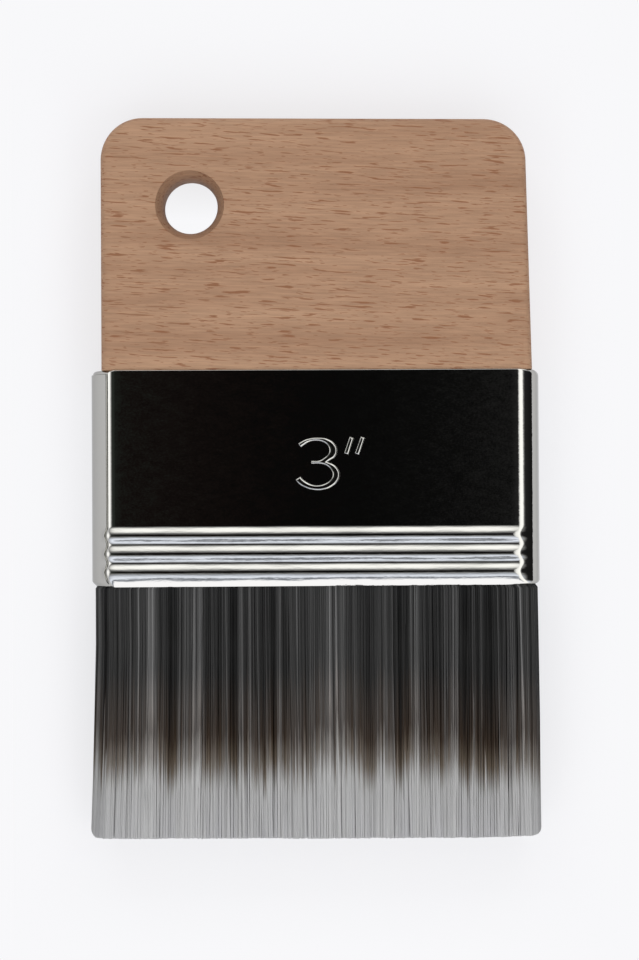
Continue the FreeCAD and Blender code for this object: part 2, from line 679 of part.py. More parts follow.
def trim_tips(bank):
    """Trims the tips a little askew, with the two outer corners of the head rounded."""
    sketch = new_sketch(bank, "tip_trim_outline", "XY_Plane")
    half, end = value("Sizes.ferrule_width / 2 + Sizes.tip_flare"), value("Sizes.filament_length")
    left, right = value("Sizes.left_tip_radius"), value("Sizes.right_tip_radius")
    risen, out, below = end - value("Sizes.tip_skew"), half + OVERRUN, end + OVERRUN
    sketch.addGeometry(arc((-half + left, left - end), left, 180, 270))
    sketch.addGeometry(line((-half + left, -end), (half - right, -risen)))
    sketch.addGeometry(arc((half - right, right - risen), right, 270, 360))
    walk = [(half, right - risen), (out, right - risen), (out, -below)]
    walk += [(-out, -below), (-out, left - end), (-half, left - end)]
    for start, stop in zip(walk, walk[1:]):
        sketch.addGeometry(line(start, stop))
    relate(sketch, ("Tangent", 0, 2, 1, 1), ("Tangent", 1, 2, 2, 1))
    relate(sketch, *(("Coincident", i, 2, (i + 1) % 8, 1) for i in range(2, 8)))
    relate(sketch, *(("Horizontal", i) for i in (3, 5, 7)), ("Vertical", 4), ("Vertical", 6))
    relate(sketch, ("Horizontal", 0, 3, 0, 1), ("Horizontal", 2, 3, 2, 2))
    reach = "Sizes.ferrule_width / 2 + Sizes.tip_flare"
    bind(sketch, "Radius", 0, size="Sizes.left_tip_radius")
    bind(sketch, "Radius", 2, size="Sizes.right_tip_radius")
    bind(sketch, "DistanceX", 0, 3, -1, 1, size=f"{reach} - Sizes.left_tip_radius")
    bind(sketch, "DistanceX", -1, 1, 2, 3, size=f"{reach} - Sizes.right_tip_radius")
    bind(sketch, "DistanceY", 0, 3, -1, 1, size="Sizes.filament_length - Sizes.left_tip_radius")
    skewed = "Sizes.filament_length - Sizes.tip_skew - Sizes.right_tip_radius"
    bind(sketch, "DistanceY", 2, 3, -1, 1, size=skewed)
    bind(sketch, "DistanceX", -1, 1, 4, 1, size=f"{reach} + {OVERRUN}")
    bind(sketch, "DistanceX", 6, 1, -1, 1, size=f"{reach} + {OVERRUN}")
    bind(sketch, "DistanceY", 5, 1, -1, 1, size=f"Sizes.filament_length + {OVERRUN}")
    pocket(bank, "tip_trim", sketch)


def cut_grooves(bank, name, phase):
    """Grooves along the strands, from the tips up to the swell, where the mouth closes them."""
    pitch, depth = f"Sizes.{name}_pitch", f"Sizes.{name}_depth"
    count = f"floor((Sizes.ferrule_width - 2 * Sizes.bead_end) / {pitch})"
    sketch = new_sketch(bank, name + "_groove", "XZ_Plane", "Sizes.filament_length")
    first = f"(({count} - 1) * {pitch} / 2 + {phase} * {pitch} / 4)"
    face = "Sizes.tip_thickness / 2"
    x, z, w, d = -value(first), value(face), value(f"{pitch} / 4"), value(depth)
    over = f"{face} + {depth}"
    corners = [(x - w, z + d), (x, z - d), (x + w, z + d)]
    for start, end in zip(corners, corners[1:] + corners[:1]):
        sketch.addGeometry(line(start, end))
    relate(sketch, *(("Coincident", i, 2, (i + 1) % 3, 1) for i in range(3)))
    relate(sketch, ("Horizontal", 2))
    bind(sketch, "DistanceX", 0, 2, -1, 1, size=first)
    bind(sketch, "DistanceX", 0, 1, 0, 2, size=f"{pitch} / 4")
    bind(sketch, "DistanceX", 0, 2, 1, 2, size=f"{pitch} / 4")
    bind(sketch, "DistanceY", -1, 1, 0, 2, size=f"{face} - {depth}")
    bind(sketch, "DistanceY", -1, 1, 0, 1, size=over)
    groove = pocket(bank, name + "_cut", sketch, "Sizes.filament_length")
    pattern(bank, name + "_cuts", groove, "X_Axis", pitch, count)


def cut_notches(bank):
    """Small notches across the tips, between strands of uneven length."""
    count = "floor((Sizes.ferrule_width - 2 * Sizes.right_tip_radius) / Sizes.notch_pitch)"
    first = f"(({count} - 1) * Sizes.notch_pitch / 2)"
    sketch = new_sketch(bank, "tip_notch", "XY_Plane")
    end, depth = value("Sizes.filament_length"), value("Sizes.notch_depth")
    x, w = -value(first), value("Sizes.notch_pitch / 4")
    corners = [(x - w, -end - depth), (x + w, -end - depth), (x, -end + depth)]
    for start, stop in zip(corners, corners[1:] + corners[:1]):
        sketch.addGeometry(line(start, stop))
    relate(sketch, *(("Coincident", i, 2, (i + 1) % 3, 1) for i in range(3)))
    relate(sketch, ("Horizontal", 0))
    bind(sketch, "DistanceX", 1, 2, -1, 1, size=first)
    bind(sketch, "DistanceX", 0, 1, 1, 2, size="Sizes.notch_pitch / 4")
    bind(sketch, "DistanceX", 1, 2, 0, 2, size="Sizes.notch_pitch / 4")
    bind(sketch, "DistanceY", 1, 2, -1, 1, size="Sizes.filament_length - Sizes.notch_depth")
    bind(sketch, "DistanceY", 0, 1, -1, 1, size="Sizes.filament_length + Sizes.notch_depth")
    notch = pocket(bank, "tip_notch_cut", sketch)
    pattern(bank, "tip_notches", notch, "X_Axis", "Sizes.notch_pitch", count)


def mirror_bank(bank):
    """The back bank, the front one's mirror image behind the mid-plane."""
    back = doc.addObject("Part::Mirroring", "filament_back")
    back.Source = bank
    back.Normal = Vector(0, 0, 1)
    back.setExpression("Base.z", f"{FRONT} + Sizes.bead_height")
    return back


def make_brads():
    """Two flat-head brads with blunt shanks, driven in from the back."""
    brads = []
    for side in (-1, 1):
        where = "left" if side < 0 else "right"
        head = doc.addObject("Part::Cylinder", f"brad_head_{where}")
        head.setExpression("Radius", "Sizes.brad_head_diameter / 2")
        head.setExpression("Height", "Sizes.brad_head_thickness")
        brad_place(head, side, "Sizes.brad_head_thickness")
        shank = doc.addObject("Part::Cylinder", f"brad_shank_{where}")
        shank.setExpression("Radius", "Sizes.brad_diameter / 2")
        shank.setExpression("Height", "Sizes.brad_length")
        brad_place(shank, side, "0")
        brad = doc.addObject("Part::Fuse", f"brad_{where}")
        brad.Base, brad.Tool = head, shank
        brads.append(brad)
    group = doc.addObject("Part::Compound", "ferrule_brads")
    group.Links = brads
    place(group)
    return group


def check_and_export(pieces):
    """Stops on anything that failed, then writes each sub-part under its label."""
    doc.recompute()
    failed = [o.Label for o in doc.Objects if {"Invalid", "Error"} & set(o.State)]
    if failed:
        raise RuntimeError("failed objects: " + ", ".join(failed))
    for feature in doc.Objects:
        if feature.TypeId in ("PartDesign::Pocket", "PartDesign::LinearPattern"):
            check_cut(feature)
    os.makedirs("parts", exist_ok=True)
    for piece in pieces:
        shape = piece.Shape
        if shape.isNull() or not shape.isValid():
            raise RuntimeError(piece.Label + " has no valid shape")
        shape.exportStep(f"parts/{piece.Label}.step")
        box = shape.BoundBox
        print(
            f"{piece.Label}: {len(shape.Solids)} solid(s), {shape.Volume:.1f} mm3,"
            f" x {box.XMin:.2f} {box.XMax:.2f}, y {box.YMin:.2f} {box.YMax:.2f},"
            f" z {box.ZMin:.2f} {box.ZMax:.2f}"
        )


def check_cut(feature):
    """A pocket, and a pattern of one, has to take material away."""
    base = feature.BaseFeature
    if base is not None and feature.Shape.Volume > base.Shape.Volume - 1e-3:
        raise RuntimeError(feature.Label + " cuts nothing")


bank = make_bank()
check_and_export(
    [
        make_handle(),
        make_ferrule(),
        make_brads(),
        make_resin(),
        make_spacer(),
        bank,
        mirror_bank(bank),
    ]
)
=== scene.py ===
import math

import bmesh
import bpy
import numpy as np
from mathutils import Matrix, Vector


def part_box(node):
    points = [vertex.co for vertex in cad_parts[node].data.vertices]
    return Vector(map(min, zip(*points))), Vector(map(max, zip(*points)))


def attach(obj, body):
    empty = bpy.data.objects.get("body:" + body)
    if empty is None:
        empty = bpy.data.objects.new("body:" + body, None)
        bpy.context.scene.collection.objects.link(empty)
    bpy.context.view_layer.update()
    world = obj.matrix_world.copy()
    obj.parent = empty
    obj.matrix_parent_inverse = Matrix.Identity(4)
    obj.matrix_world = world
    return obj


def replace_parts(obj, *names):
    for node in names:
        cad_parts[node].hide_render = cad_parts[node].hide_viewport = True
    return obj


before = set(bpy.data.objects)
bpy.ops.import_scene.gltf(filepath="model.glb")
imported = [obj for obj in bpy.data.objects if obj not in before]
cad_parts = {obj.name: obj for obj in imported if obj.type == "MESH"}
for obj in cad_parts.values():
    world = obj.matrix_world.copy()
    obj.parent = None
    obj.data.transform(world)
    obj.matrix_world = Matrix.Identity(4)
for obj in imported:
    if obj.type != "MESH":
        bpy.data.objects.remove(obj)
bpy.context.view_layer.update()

bl_info = {
    "name": "Flat cleaning brush",
    "version": (1, 0, 0),
    "blender": (4, 5, 0),
    "location": "3D View > Sidebar > Brush",
    "description": "Beech, nickel plate and filament, dressed round the CAD solids of a flat brush",
    "category": "Object",
}

MM = 0.001

# The ferrule's wrap as part.py has it, in millimetres: X and Z from the middle of the brush,
# each narrow end as its arc's radius, its corners' radius and the curl of its top corner
HALF_WIDTH = 37.9
HALF_THICKNESS = 8.75
ENDS = {1: (30.0, 3.5, 1.1), -1: (12.9, 1.6, 0.6)}
SHEET = 0.4
SHOULDER_STEP = 1.35
RIM_CURL = 0.8
BEAD_HEIGHT, BEAD_PITCH, BEAD_MARGIN = 0.6, 3.1, 2.4
BEAD_TOP = BEAD_MARGIN + 2.5 * BEAD_PITCH
# How much the beads' height wanders, and the millimetres of width per radian of its two waves
BEAD_WANDER, BEAD_SWAYS = 0.02, (2.3, 6.1)
# The powers that round the beads' crests and the lowest bead's roll down to the mouth
CREST_POWER, ROLL_POWER = 0.8, 1.6
# Where the beads fade: from X to X over the right corners, and down the left end's height
BEAD_FADE_RIGHT, BEAD_FADE_LEFT = (33.4, 36.3), (8.7, 6.6)
# The photo's right end stands out a little, more towards the mouth, from this X on
RIGHT_LEAN, LEAN_START, LEAN_RUN = (0.05, 0.1), 20.0, 13.0
# The mouth drops towards its left end
MOUTH_SLANT = 0.12
# The top edge's curl on the broad faces, where ENDS has the narrow ends' own
FACE_CURL = 0.12
# The seam on the left end: heights of its root and free edge, and how far the lap stands out
LAP_ROOT, LAP_STEP, LAP_EDGE, LAP_RISE = -5.0, 1.0, 8.05, 0.25

# Planes read from the CAD's boxes, in millimetres
FERRULE = [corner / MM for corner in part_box("ferrule")]
BANK = [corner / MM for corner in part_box("filament_front")]
MOUTH, TOP = FERRULE[0].y, FERRULE[1].y
MIDDLE = FERRULE[1].z / 2
FACE = MIDDLE + HALF_THICKNESS
TIPS = BANK[0].y


def ramp(value, start, run):
    """0 up to start, 1 from one run further on, and a straight rise between them."""
    return min(max((value - start) / run, 0.0), 1.0)


def linear(hex_colour):
    """An sRGB hex colour as linear red, green, blue and alpha."""
    channels = [int(hex_colour[i:i + 2], 16) / 255 for i in (0, 2, 4)]
    return tuple(
        c / 12.92 if c <= 0.04045 else ((c + 0.055) / 1.055) ** 2.4 for c in channels
    ) + (1.0,)


def add_node(tree, kind, settings=None, inputs=None, stops=None):
    """One shader node: its settings, its inputs as values or links, and a ramp's colour stops."""
    node = tree.nodes.new("ShaderNode" + kind)
    for name, setting in (settings or {}).items():
        setattr(node, name, setting)
    for key, given in (inputs or {}).items():
        if isinstance(given, bpy.types.NodeSocket):
            tree.links.new(given, node.inputs[key])
        else:
            node.inputs[key].default_value = given
    for index, (position, colour) in enumerate(stops or ()):
        elements = node.color_ramp.elements
        stop = elements[index] if index < 2 else elements.new(position)
        stop.position, stop.color = position, colour
    return node


# Socket numbers of a Mix node set to colours
MIX_A, MIX_B, MIX_RESULT = 6, 7, 2


def new_material(name):
    """A named material with an empty node tree."""
    material = bpy.data.materials.new(name)
    material.use_nodes = True
    material.node_tree.nodes.clear()
    return material, material.node_tree


def finish_material(material, shader):
    """The material with its shader joined to its surface."""
    add_node(material.node_tree, "OutputMaterial", inputs={"Surface": shader.outputs[0]})
    return material


def principled(material, inputs):
    """The material with one Principled surface."""
    shader = add_node(material.node_tree, "BsdfPrincipled", inputs=inputs)
    return finish_material(material, shader)


def tints(tree, value, stops):
    """The colour that a ramp of stops gives a value."""
    return add_node(tree, "ValToRGB", inputs={"Fac": value}, stops=stops).outputs["Color"]


def new_piece(name, mesh, material):
    """A finished mesh piece that rides on the brush's one body."""
    mesh.materials.append(material)
    piece = bpy.data.objects.new(name, mesh)
    bpy.context.scene.collection.objects.link(piece)
    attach(piece, "root")
    return piece


def smooth(mesh, crease=None):
    """Smooth shading, with edges sharper than crease degrees left crisp."""
    mesh.polygons.foreach_set("use_smooth", [True] * len(mesh.polygons))
    if crease is not None:
        mesh.set_sharp_from_angle(angle=math.radians(crease))
    mesh.update()


def repaint(node, material):
    """A better material on a CAD node whose shape stays."""
    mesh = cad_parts[node].data
    mesh.materials.clear()
    mesh.materials.append(material)


def object_space(tree, steps, turn=0.0):
    """Object coordinates in steps of so many millimetres, turned by so many degrees about Z."""
    place = add_node(tree, "TexCoord").outputs["Object"]
    return add_node(
        tree, "Mapping", {"vector_type": "TEXTURE"},
        {
            "Vector": place,
            "Rotation": (0.0, 0.0, math.radians(turn)),
            "Scale": tuple(step * MM for step in steps),
        },
    ).outputs["Vector"]


def noise(tree, steps, detail, turn=0.0, **more):
    """A noise pattern as coarse as so many millimetres along X, Y and Z."""
    vector = object_space(tree, steps, turn)
    return add_node(
        tree, "TexNoise", inputs={"Vector": vector, "Scale": 1.0, "Detail": detail, **more},
    ).outputs["Fac"]


def remap(tree, value, source, target=(0.0, 1.0)):
    """A value carried from one range to another, and kept inside it."""
    return add_node(
        tree, "MapRange",
        inputs={"Value": value, "From Min": source[0], "From Max": source[1],
                "To Min": target[0], "To Max": target[1]},
    ).outputs["Result"]


def calculate(tree, operation, *values):
    """The result of one sum on values or links."""
    return add_node(tree, "Math", {"operation": operation}, dict(enumerate(values))).outputs[0]


def scaled(tree, colour, factor):
    """A colour made paler or darker by a factor."""
    return add_node(
        tree, "VectorMath", {"operation": "SCALE"}, {"Vector": colour, "Scale": factor},
    ).outputs[0]


def bumped(tree, height, strength, depth, **more):
    """A surface's normal, as a pattern so many millimetres deep turns it."""
    return add_node(
        tree, "Bump",
        inputs={"Strength": strength, "Distance": depth * MM, "Height": height, **more},
    ).outputs["Normal"]


def sanded_beech(look):
    """Bare sanded beech: level grain in soft bands, fine fibres and short brown ray flecks."""
    material, tree = new_material("sanded_beech")
    # Growth bands, 3 to 5 mm apart, give the soft light and dark stripes along the block
    bands = noise(tree, (70, 4.2, 6), 3.0, turn=-0.6)
    wood = tints(tree, bands, [(0.32, look.wood_dark), (0.68, look.wood_pale)])
    # Fibres, drawn 0.3 mm wide because the real 0.05 mm ones don't show in a picture
    fibres = noise(tree, (5, 0.3, 0.5), 3.0, turn=-1.5)
    colour = scaled(tree, wood, remap(tree, fibres, (0.3, 0.7), (0.86, 1.1)))
    # Ray flecks: thin pointed dashes, the peaks of two stretched noises, that drop to the right
    for along, across, low, high, depth in (
        (4.2, 0.38, 0.635, 0.675, 0.9), (1.9, 0.24, 0.645, 0.69, 0.65),
    ):
        peaks = noise(tree, (along, across, 0.8), 1.0, turn=-3.5, Roughness=0.4, Distortion=0.15)
        dash = remap(tree, peaks, (low, high), (0.0, depth))
        colour = add_node(
            tree, "Mix", {"data_type": "RGBA"}, {0: dash, MIX_A: colour, MIX_B: look.wood_fleck},
        ).outputs[MIX_RESULT]
    return principled(material, {
        "Base Color": colour, "Roughness": 0.62, "Normal": bumped(tree, fibres, 0.35, 0.05),
    })


def bright_nickel(look):
    """Bright nickel plate on rolled steel: a mirror with the sheet's faint long waves in it."""
    material, tree = new_material("bright_nickel_plate")
    # Long low waves from the rolling make the mirrored bands wander
    rolled = bumped(tree, noise(tree, (6, 1.1, 3), 3.0), 1.0, 0.045)
    # The polish leaves a fine grain that frays the mirrored edges
    polished = bumped(tree, noise(tree, (0.5, 0.3, 0.5), 2.0), 1.0, 0.005, Normal=rolled)
    # A thin haze comes and goes over the plate
    haze = remap(tree, noise(tree, (3, 6, 3), 4.0), (0.35, 0.75), (0.015, 0.045))
    return principled(material, {
        "Base Color": look.nickel, "Metallic": 1.0, "Specular Tint": linear("D8D8D8"),
        "Roughness": haze, "Normal": polished,
    })


# How many times as bright a strand painted 1 is as one painted 0, where they differ most: 0 is
# painted shade in the gaps between clumps, 1 is painted sheen on the clumps
SHADE_SHEEN_SPREAD = 22.0


def drawn_filament(look):
    """Drawn synthetic filament: charcoal, dyed brown in the middle and left grey at its tips.
    Painted shade and sheen make its strands darker and paler.
    """
    material, tree = new_material("drawn_filament")
    place = add_node(tree, "TexCoord").outputs["Object"]
    height = add_node(tree, "SeparateXYZ", inputs={"Vector": place}).outputs["Y"]
    shift = add_node(tree, "Attribute", {"attribute_name": "strand_shift"}).outputs["Fac"]
    # Each strand's painted shade and sheen: low for shade in the gaps between clumps, high for
    # sheen on them, with a little random tone
    shade_sheen = add_node(tree, "Attribute", {"attribute_name": "strand_shade_sheen"}).outputs["Fac"]
    # 0 at the ferrule's mouth and 1 at the tips
    along = remap(tree, calculate(tree, "ADD", height, shift), (MOUTH * MM, TIPS * MM))
    colour = tints(tree, along, [
        (0.0, look.filament_root), (0.34, look.filament_root), (0.6, look.filament_dye),
        (0.7, look.filament_fade), (0.8, look.filament_tip), (1.0, look.filament_end),
    ])
    # The dye's brown shows in the strands painted dark as shade, and hardly in the ones painted
    # pale as sheen
    tinted = add_node(
        tree, "HueSaturation",
        inputs={"Saturation": remap(tree, shade_sheen, (0.2, 0.75), (1.35, 0.3)), "Color": colour},
    )
    # The painted shade and sheen differ much in the dyed part and hardly at all in the tips
    evenness = remap(tree, along, (0.5, 0.82), (1.0, 0.02))
    power = calculate(tree, "MULTIPLY", calculate(tree, "SUBTRACT", shade_sheen, 0.5), evenness)
    varied = scaled(tree, tinted.outputs["Color"], calculate(tree, "POWER", SHADE_SHEEN_SPREAD, power))
    return principled(
        material, {"Base Color": varied, "Roughness": 0.5, "Specular IOR Level": 0.2},
    )


def cast_epoxy():
    """Poured epoxy: honey brown, glassy, with small trapped bubbles."""
    material, tree = new_material("cast_epoxy")
    # The resin is cloudy where it soaked into the filament
    cloud = noise(tree, (8, 8, 8), 3.0)
    bubbles = add_node(
        tree, "TexVoronoi", {"feature": "F1"},
        {"Vector": object_space(tree, (1.4, 1.4, 1.4)), "Scale": 1.0},
    )
    pits = remap(tree, bubbles.outputs["Distance"], (0.1, 0.25))
    return principled(material, {
        "Base Color": tints(tree, cloud, [(0.35, linear("5E4320")), (0.7, linear("8A6A38"))]),
        "Roughness": 0.18, "Coat Weight": 0.4, "Normal": bumped(tree, pits, 0.4, 0.15),
    })


def sawn_poplar():
    """Sawn poplar strip: pale and dull, with coarse fibres along its length."""
    material, tree = new_material("sawn_poplar")
    fibres = noise(tree, (12, 0.5, 0.5), 4.0)
    return principled(material, {
        "Base Color": tints(tree, fibres, [(0.3, linear("B79C78")), (0.7, linear("D2BC97"))]),
        "Roughness": 0.8, "Normal": bumped(tree, fibres, 0.6, 0.1),
    })


def drawn_wire():
    """Bright drawn steel wire with a stamped flat head: fine grip lines, a satin shine."""
    material, tree = new_material("drawn_steel_wire")
    lines = noise(tree, (0.3, 0.3, 2.0), 2.0)
    return principled(material, {
        "Base Color": linear("C4C2BC"), "Metallic": 1.0,
        "Roughness": remap(tree, lines, (0.3, 0.7), (0.18, 0.34)),
        "Normal": bumped(tree, lines, 0.3, 0.02),
    })


def end_arcs(side, grow=0.0, level=HALF_THICKNESS):
    """Of one narrow end: its arc's centre and radius, its corners' centre, rise and radius."""
    radius, corner, _ = ENDS[side]
    radius, width = radius + grow, HALF_WIDTH + grow
    rise = level - corner
    run = math.sqrt((radius - corner) ** 2 - rise ** 2)
    return width - radius, radius, width - radius + run, rise, corner


def reach_at(side, z, grow, level):
    """How far the wrap's section, grown and as thick as level, reaches out at height z."""
    centre, radius, corner_x, rise, corner = end_arcs(side, grow, level)
    z = min(abs(z), level)
    if z <= radius * rise / (radius - corner):
        return centre + math.sqrt(radius ** 2 - z ** 2)
    return corner_x + math.sqrt(max(corner ** 2 - (z - rise) ** 2, 0.0))


# Points of the wrap's section on each broad face and round each end's corners
FLAT_STEPS, CORNER_STEPS = 60, {1: 16, -1: 18}


def wrap_outline():
    """The wrap's section as a ring of points: X, Z, outward normal, and the narrow end it is on.

    The last number is 0 on a broad face, and 1 or -1 on a narrow end, partly over its corners.
    """
    ring = []

    def walk(centre, radius, start, stop, steps, end_from, end_to, side):
        for step in range(steps):
            t = step / steps
            a = math.radians(start + (stop - start) * t)
            normal = (math.cos(a), math.sin(a))
            ring.append((
                centre[0] + radius * normal[0], centre[1] + radius * normal[1], *normal,
                side * (end_from + (end_to - end_from) * t),
            ))

    right_x, right_r, right_cx, right_rise, right_c = end_arcs(1)
    left_x, left_r, left_cx, left_rise, left_c = end_arcs(-1)
    right_angle = math.degrees(math.asin(right_rise / (right_r - right_c)))
    left_angle = math.degrees(math.asin(left_rise / (left_r - left_c)))
    lap = math.degrees(math.asin(LAP_EDGE / left_r))
    root = math.degrees(math.asin(-LAP_ROOT / left_r))
    foot = math.degrees(math.asin((-LAP_ROOT - LAP_STEP) / left_r))

    def flat(start, stop, level, normal):
        ring.extend(
            (start + (stop - start) * i / FLAT_STEPS, level, 0.0, normal, 0.0)
            for i in range(FLAT_STEPS)
        )

    # Anticlockwise from the right end of the front face
    flat(right_cx, -left_cx, HALF_THICKNESS, 1.0)
    walk((-left_cx, left_rise), left_c, 90, 180 - left_angle, CORNER_STEPS[-1], 0, 1, -1)
    # The narrow end with the seam: the lap's sharp free edge, the beads' fade, the lap's root
    for start, stop, steps in (
        (180 - left_angle, 180 - lap - 0.1, 1), (180 - lap - 0.1, 180 - lap, 1),
        (180 - lap, 192 - lap, 12), (192 - lap, 180 + foot, 16),
        (180 + foot, 180 + root, 3), (180 + root, 180 + left_angle, 12),
    ):
        walk((-left_x, 0), left_r, start, stop, steps, 1, 1, -1)
    walk((-left_cx, -left_rise), left_c, 180 + left_angle, 270, CORNER_STEPS[-1], 1, 0, -1)
    flat(-left_cx, right_cx, -HALF_THICKNESS, -1.0)
    walk((right_cx, -right_rise), right_c, -90, -right_angle, CORNER_STEPS[1], 0, 1, 1)
    walk((right_x, 0), right_r, -right_angle, right_angle, 10, 1, 1, 1)
    walk((right_cx, right_rise), right_c, right_angle, 90, CORNER_STEPS[1], 1, 0, 1)
    return ring


def bead_relief(x, y, z):
    """How far the sheet stands out at height y over the mouth: beads, then the lip's curl.

    The beads meet in tight grooves, and the lowest one rolls on down to the mouth. They fade
    on the right corners and on the left end, and their height wanders a little.
    """
    start, stop = BEAD_FADE_RIGHT if x > 0 else BEAD_FADE_LEFT
    over = ramp(x if x > 0 else abs(z), start, stop - start)
    share = (1 + math.cos(math.pi * over)) / 2
    bead = max(round((y - BEAD_MARGIN) / BEAD_PITCH), 0)
    height = BEAD_HEIGHT
    for times, sway in enumerate(BEAD_SWAYS, 1):
        height += BEAD_WANDER * math.sin(x / sway + times * bead)
    if y >= BEAD_TOP:
        return 0.0
    if y >= BEAD_MARGIN:
        wave = (1 + math.cos(2 * math.pi * (y - BEAD_MARGIN) / BEAD_PITCH)) / 2
        return share * height * wave ** CREST_POWER
    plain = 0.0
    if y < RIM_CURL:
        plain = math.sqrt(max(RIM_CURL ** 2 - (RIM_CURL - y) ** 2, 0.0)) - RIM_CURL
    rolled = (height + RIM_CURL) * (1 - (1 - y / BEAD_MARGIN) ** ROLL_POWER) - RIM_CURL
    return share * rolled + (1 - share) * plain


def ferrule_rows():
    """The sheet's closed profile as rows: a kind, and a height or a share of a quarter turn."""
    height = TOP - MOUTH
    fine = int((BEAD_TOP - BEAD_MARGIN) / 0.1)
    rows = [("throat", 2.0), ("throat", 0.0)]
    rows += [("curl", step / 7) for step in range(8)]
    rows += [("below", 0.1), ("wall", height - 1.8), ("wall", 24.0), ("wall", BEAD_TOP + 0.3)]
    rows += [("wall", BEAD_TOP - (BEAD_TOP - BEAD_MARGIN) * i / fine) for i in range(fine)]
    rows += [("wall", BEAD_MARGIN * (1 - math.sin(math.radians(4.5 * i)))) for i in range(21)]
    rows += [("lip", 0.45), ("inside", 0.9), ("inside", 12.0), ("inside", height - 2.5)]
    return rows


def ferrule_point(kind, t, point):
    """Where a row of the sheet crosses one point of the ring, in the brush's frame."""
    x, z, nx, nz, end = point
    height = TOP - MOUTH
    curl = FACE_CURL + (ENDS[1 if end > 0 else -1][2] - FACE_CURL) * abs(end)
    turn = math.radians(90 * t)
    if kind == "throat":
        inset, y = SHEET + (SHOULDER_STEP - SHEET) * abs(end), height - t
    elif kind == "curl":
        inset, y = curl * (1 - math.sin(turn)), height - curl * (1 - math.cos(turn))
    elif kind == "below":
        inset, y = 0.0, height - curl - t
    elif kind == "wall":
        inset, y = -bead_relief(x, t, z), t
    elif kind == "lip":
        inset, y = RIM_CURL, t
    else:
        inset, y = SHEET, t
    if end < -0.999 and z < LAP_EDGE + 0.01 and kind in ("below", "wall"):
        # The lap starts just over the rim, so that the rim stays whole
        inset -= LAP_RISE * ramp(z, LAP_ROOT, LAP_STEP) * ramp(y, 0.3, 0.5)
    x += (RIGHT_LEAN[0] + RIGHT_LEAN[1] * (1 - y / height)) * ramp(x, LEAN_START, LEAN_RUN)
    if kind in ("wall", "lip"):
        y += MOUTH_SLANT * x / HALF_WIDTH * max(1 - y / BEAD_MARGIN, 0.0)
    return Vector((x - inset * nx, MOUTH + y, MIDDLE + z - inset * nz)) * MM


def sleeve(name, ring, rows, place, crease):
    """A closed shell, a ring of points swept through rows that meet again at the end."""
    bm = bmesh.new()
    loop = bmesh.ops.create_circle(bm, cap_ends=False, radius=1.0, segments=len(ring))["verts"]
    first = edges = bm.edges[:]
    for number, row in enumerate(rows):
        if number:
            grown = bmesh.ops.extrude_edge_only(bm, edges=edges)["geom"]
            fresh = {item for item in grown if isinstance(item, bmesh.types.BMVert)}
            edges = [
                item for item in grown
                if isinstance(item, bmesh.types.BMEdge) and set(item.verts) <= fresh
            ]
            loop = [
                next(e.other_vert(v) for e in v.link_edges if e.other_vert(v) in fresh)
                for v in loop
            ]
        for vert, point in zip(loop, ring):
            vert.co = place(*row, point)
    bmesh.ops.bridge_loops(bm, edges=first + edges)
    bmesh.ops.recalc_face_normals(bm, faces=bm.faces[:])
    mesh = bpy.data.meshes.new(name)
    bm.to_mesh(mesh)
    bm.free()
    smooth(mesh, crease)
    return mesh


# The handle's block as the photo's left side, right side and top edge have it, in millimetres
HANDLE_LEFT, HANDLE_RIGHT, SIDE_LEAN = 36.05, 36.5, 0.95
HANDLE_CORNER, HANDLE_EDGE = 7.1, 1.2
HANDLE_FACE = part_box("handle")[1].z / MM - MIDDLE
HANDLE_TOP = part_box("handle")[1].y / MM
HOLE_CENTRE = (-21.05, 45.95)
HOLE_WAIST, HOLE_RIM = 4.55, 5.8
# The saw cut across the top runs off square: its drop at the middle and per millimetre of X
CUT_DROP, CUT_SLOPE = 0.075, 0.007


def handle_ring():
    """Points round the block's outline: X, Y, and how far each moves in X and Y per inset."""
    ring = []

    def side(start, stop, inward, steps, inward_stop=None):
        for step in range(steps):
            t = step / steps
            ring.append(tuple(
                a + (b - a) * t
                for a, b in zip((*start, *inward), (*stop, *(inward_stop or inward)))
            ))

    def corner(x, y, start, stop, steps=16):
        for step in range(steps):
            a = math.radians(start + (stop - start) * step / steps)
            c, n = math.cos(a), math.sin(a)
            ring.append((x + HANDLE_CORNER * c, y + HANDLE_CORNER * n, -c, -n))

    lean = math.atan(SIDE_LEAN / (HANDLE_TOP - TOP))
    right, high = HANDLE_RIGHT - SIDE_LEAN - HANDLE_CORNER, HANDLE_TOP - HANDLE_CORNER
    side((HANDLE_RIGHT, TOP), (right + HANDLE_CORNER, high), (-1.0, 0.0), 28)
    corner(right, high, math.degrees(lean), 90)
    side((right, HANDLE_TOP), (HANDLE_CORNER - HANDLE_LEFT, HANDLE_TOP), (0.0, -1.0), 48)
    corner(HANDLE_CORNER - HANDLE_LEFT, high, 90, 180)
    side((-HANDLE_LEFT, high), (-HANDLE_LEFT, TOP), (1.0, 0.0), 28)
    side((-HANDLE_LEFT, TOP), (HANDLE_RIGHT, TOP), (1.0, 0.0), 48, inward_stop=(-1.0, 0.0))
    return ring


def handle_rows():
    """The block's skin as rows of inset or hole share and of height from the middle."""
    rim = [(t, HANDLE_FACE * (0.3 + 0.7 * t)) for t in (0.0, 0.2, 0.4, 0.55, 0.7, 0.82, 0.92, 1.0)]
    front = [("hole", t, z) for t, z in rim] + [("face", HANDLE_EDGE + 0.2, HANDLE_FACE)]
    for step in range(9):
        a = math.radians(90 * step / 8)
        front.append(
            ("face", HANDLE_EDGE * (1 - math.sin(a)), HANDLE_FACE - HANDLE_EDGE * (1 - math.cos(a)))
        )
    return front + [(kind, t, -z) for kind, t, z in reversed(front)]


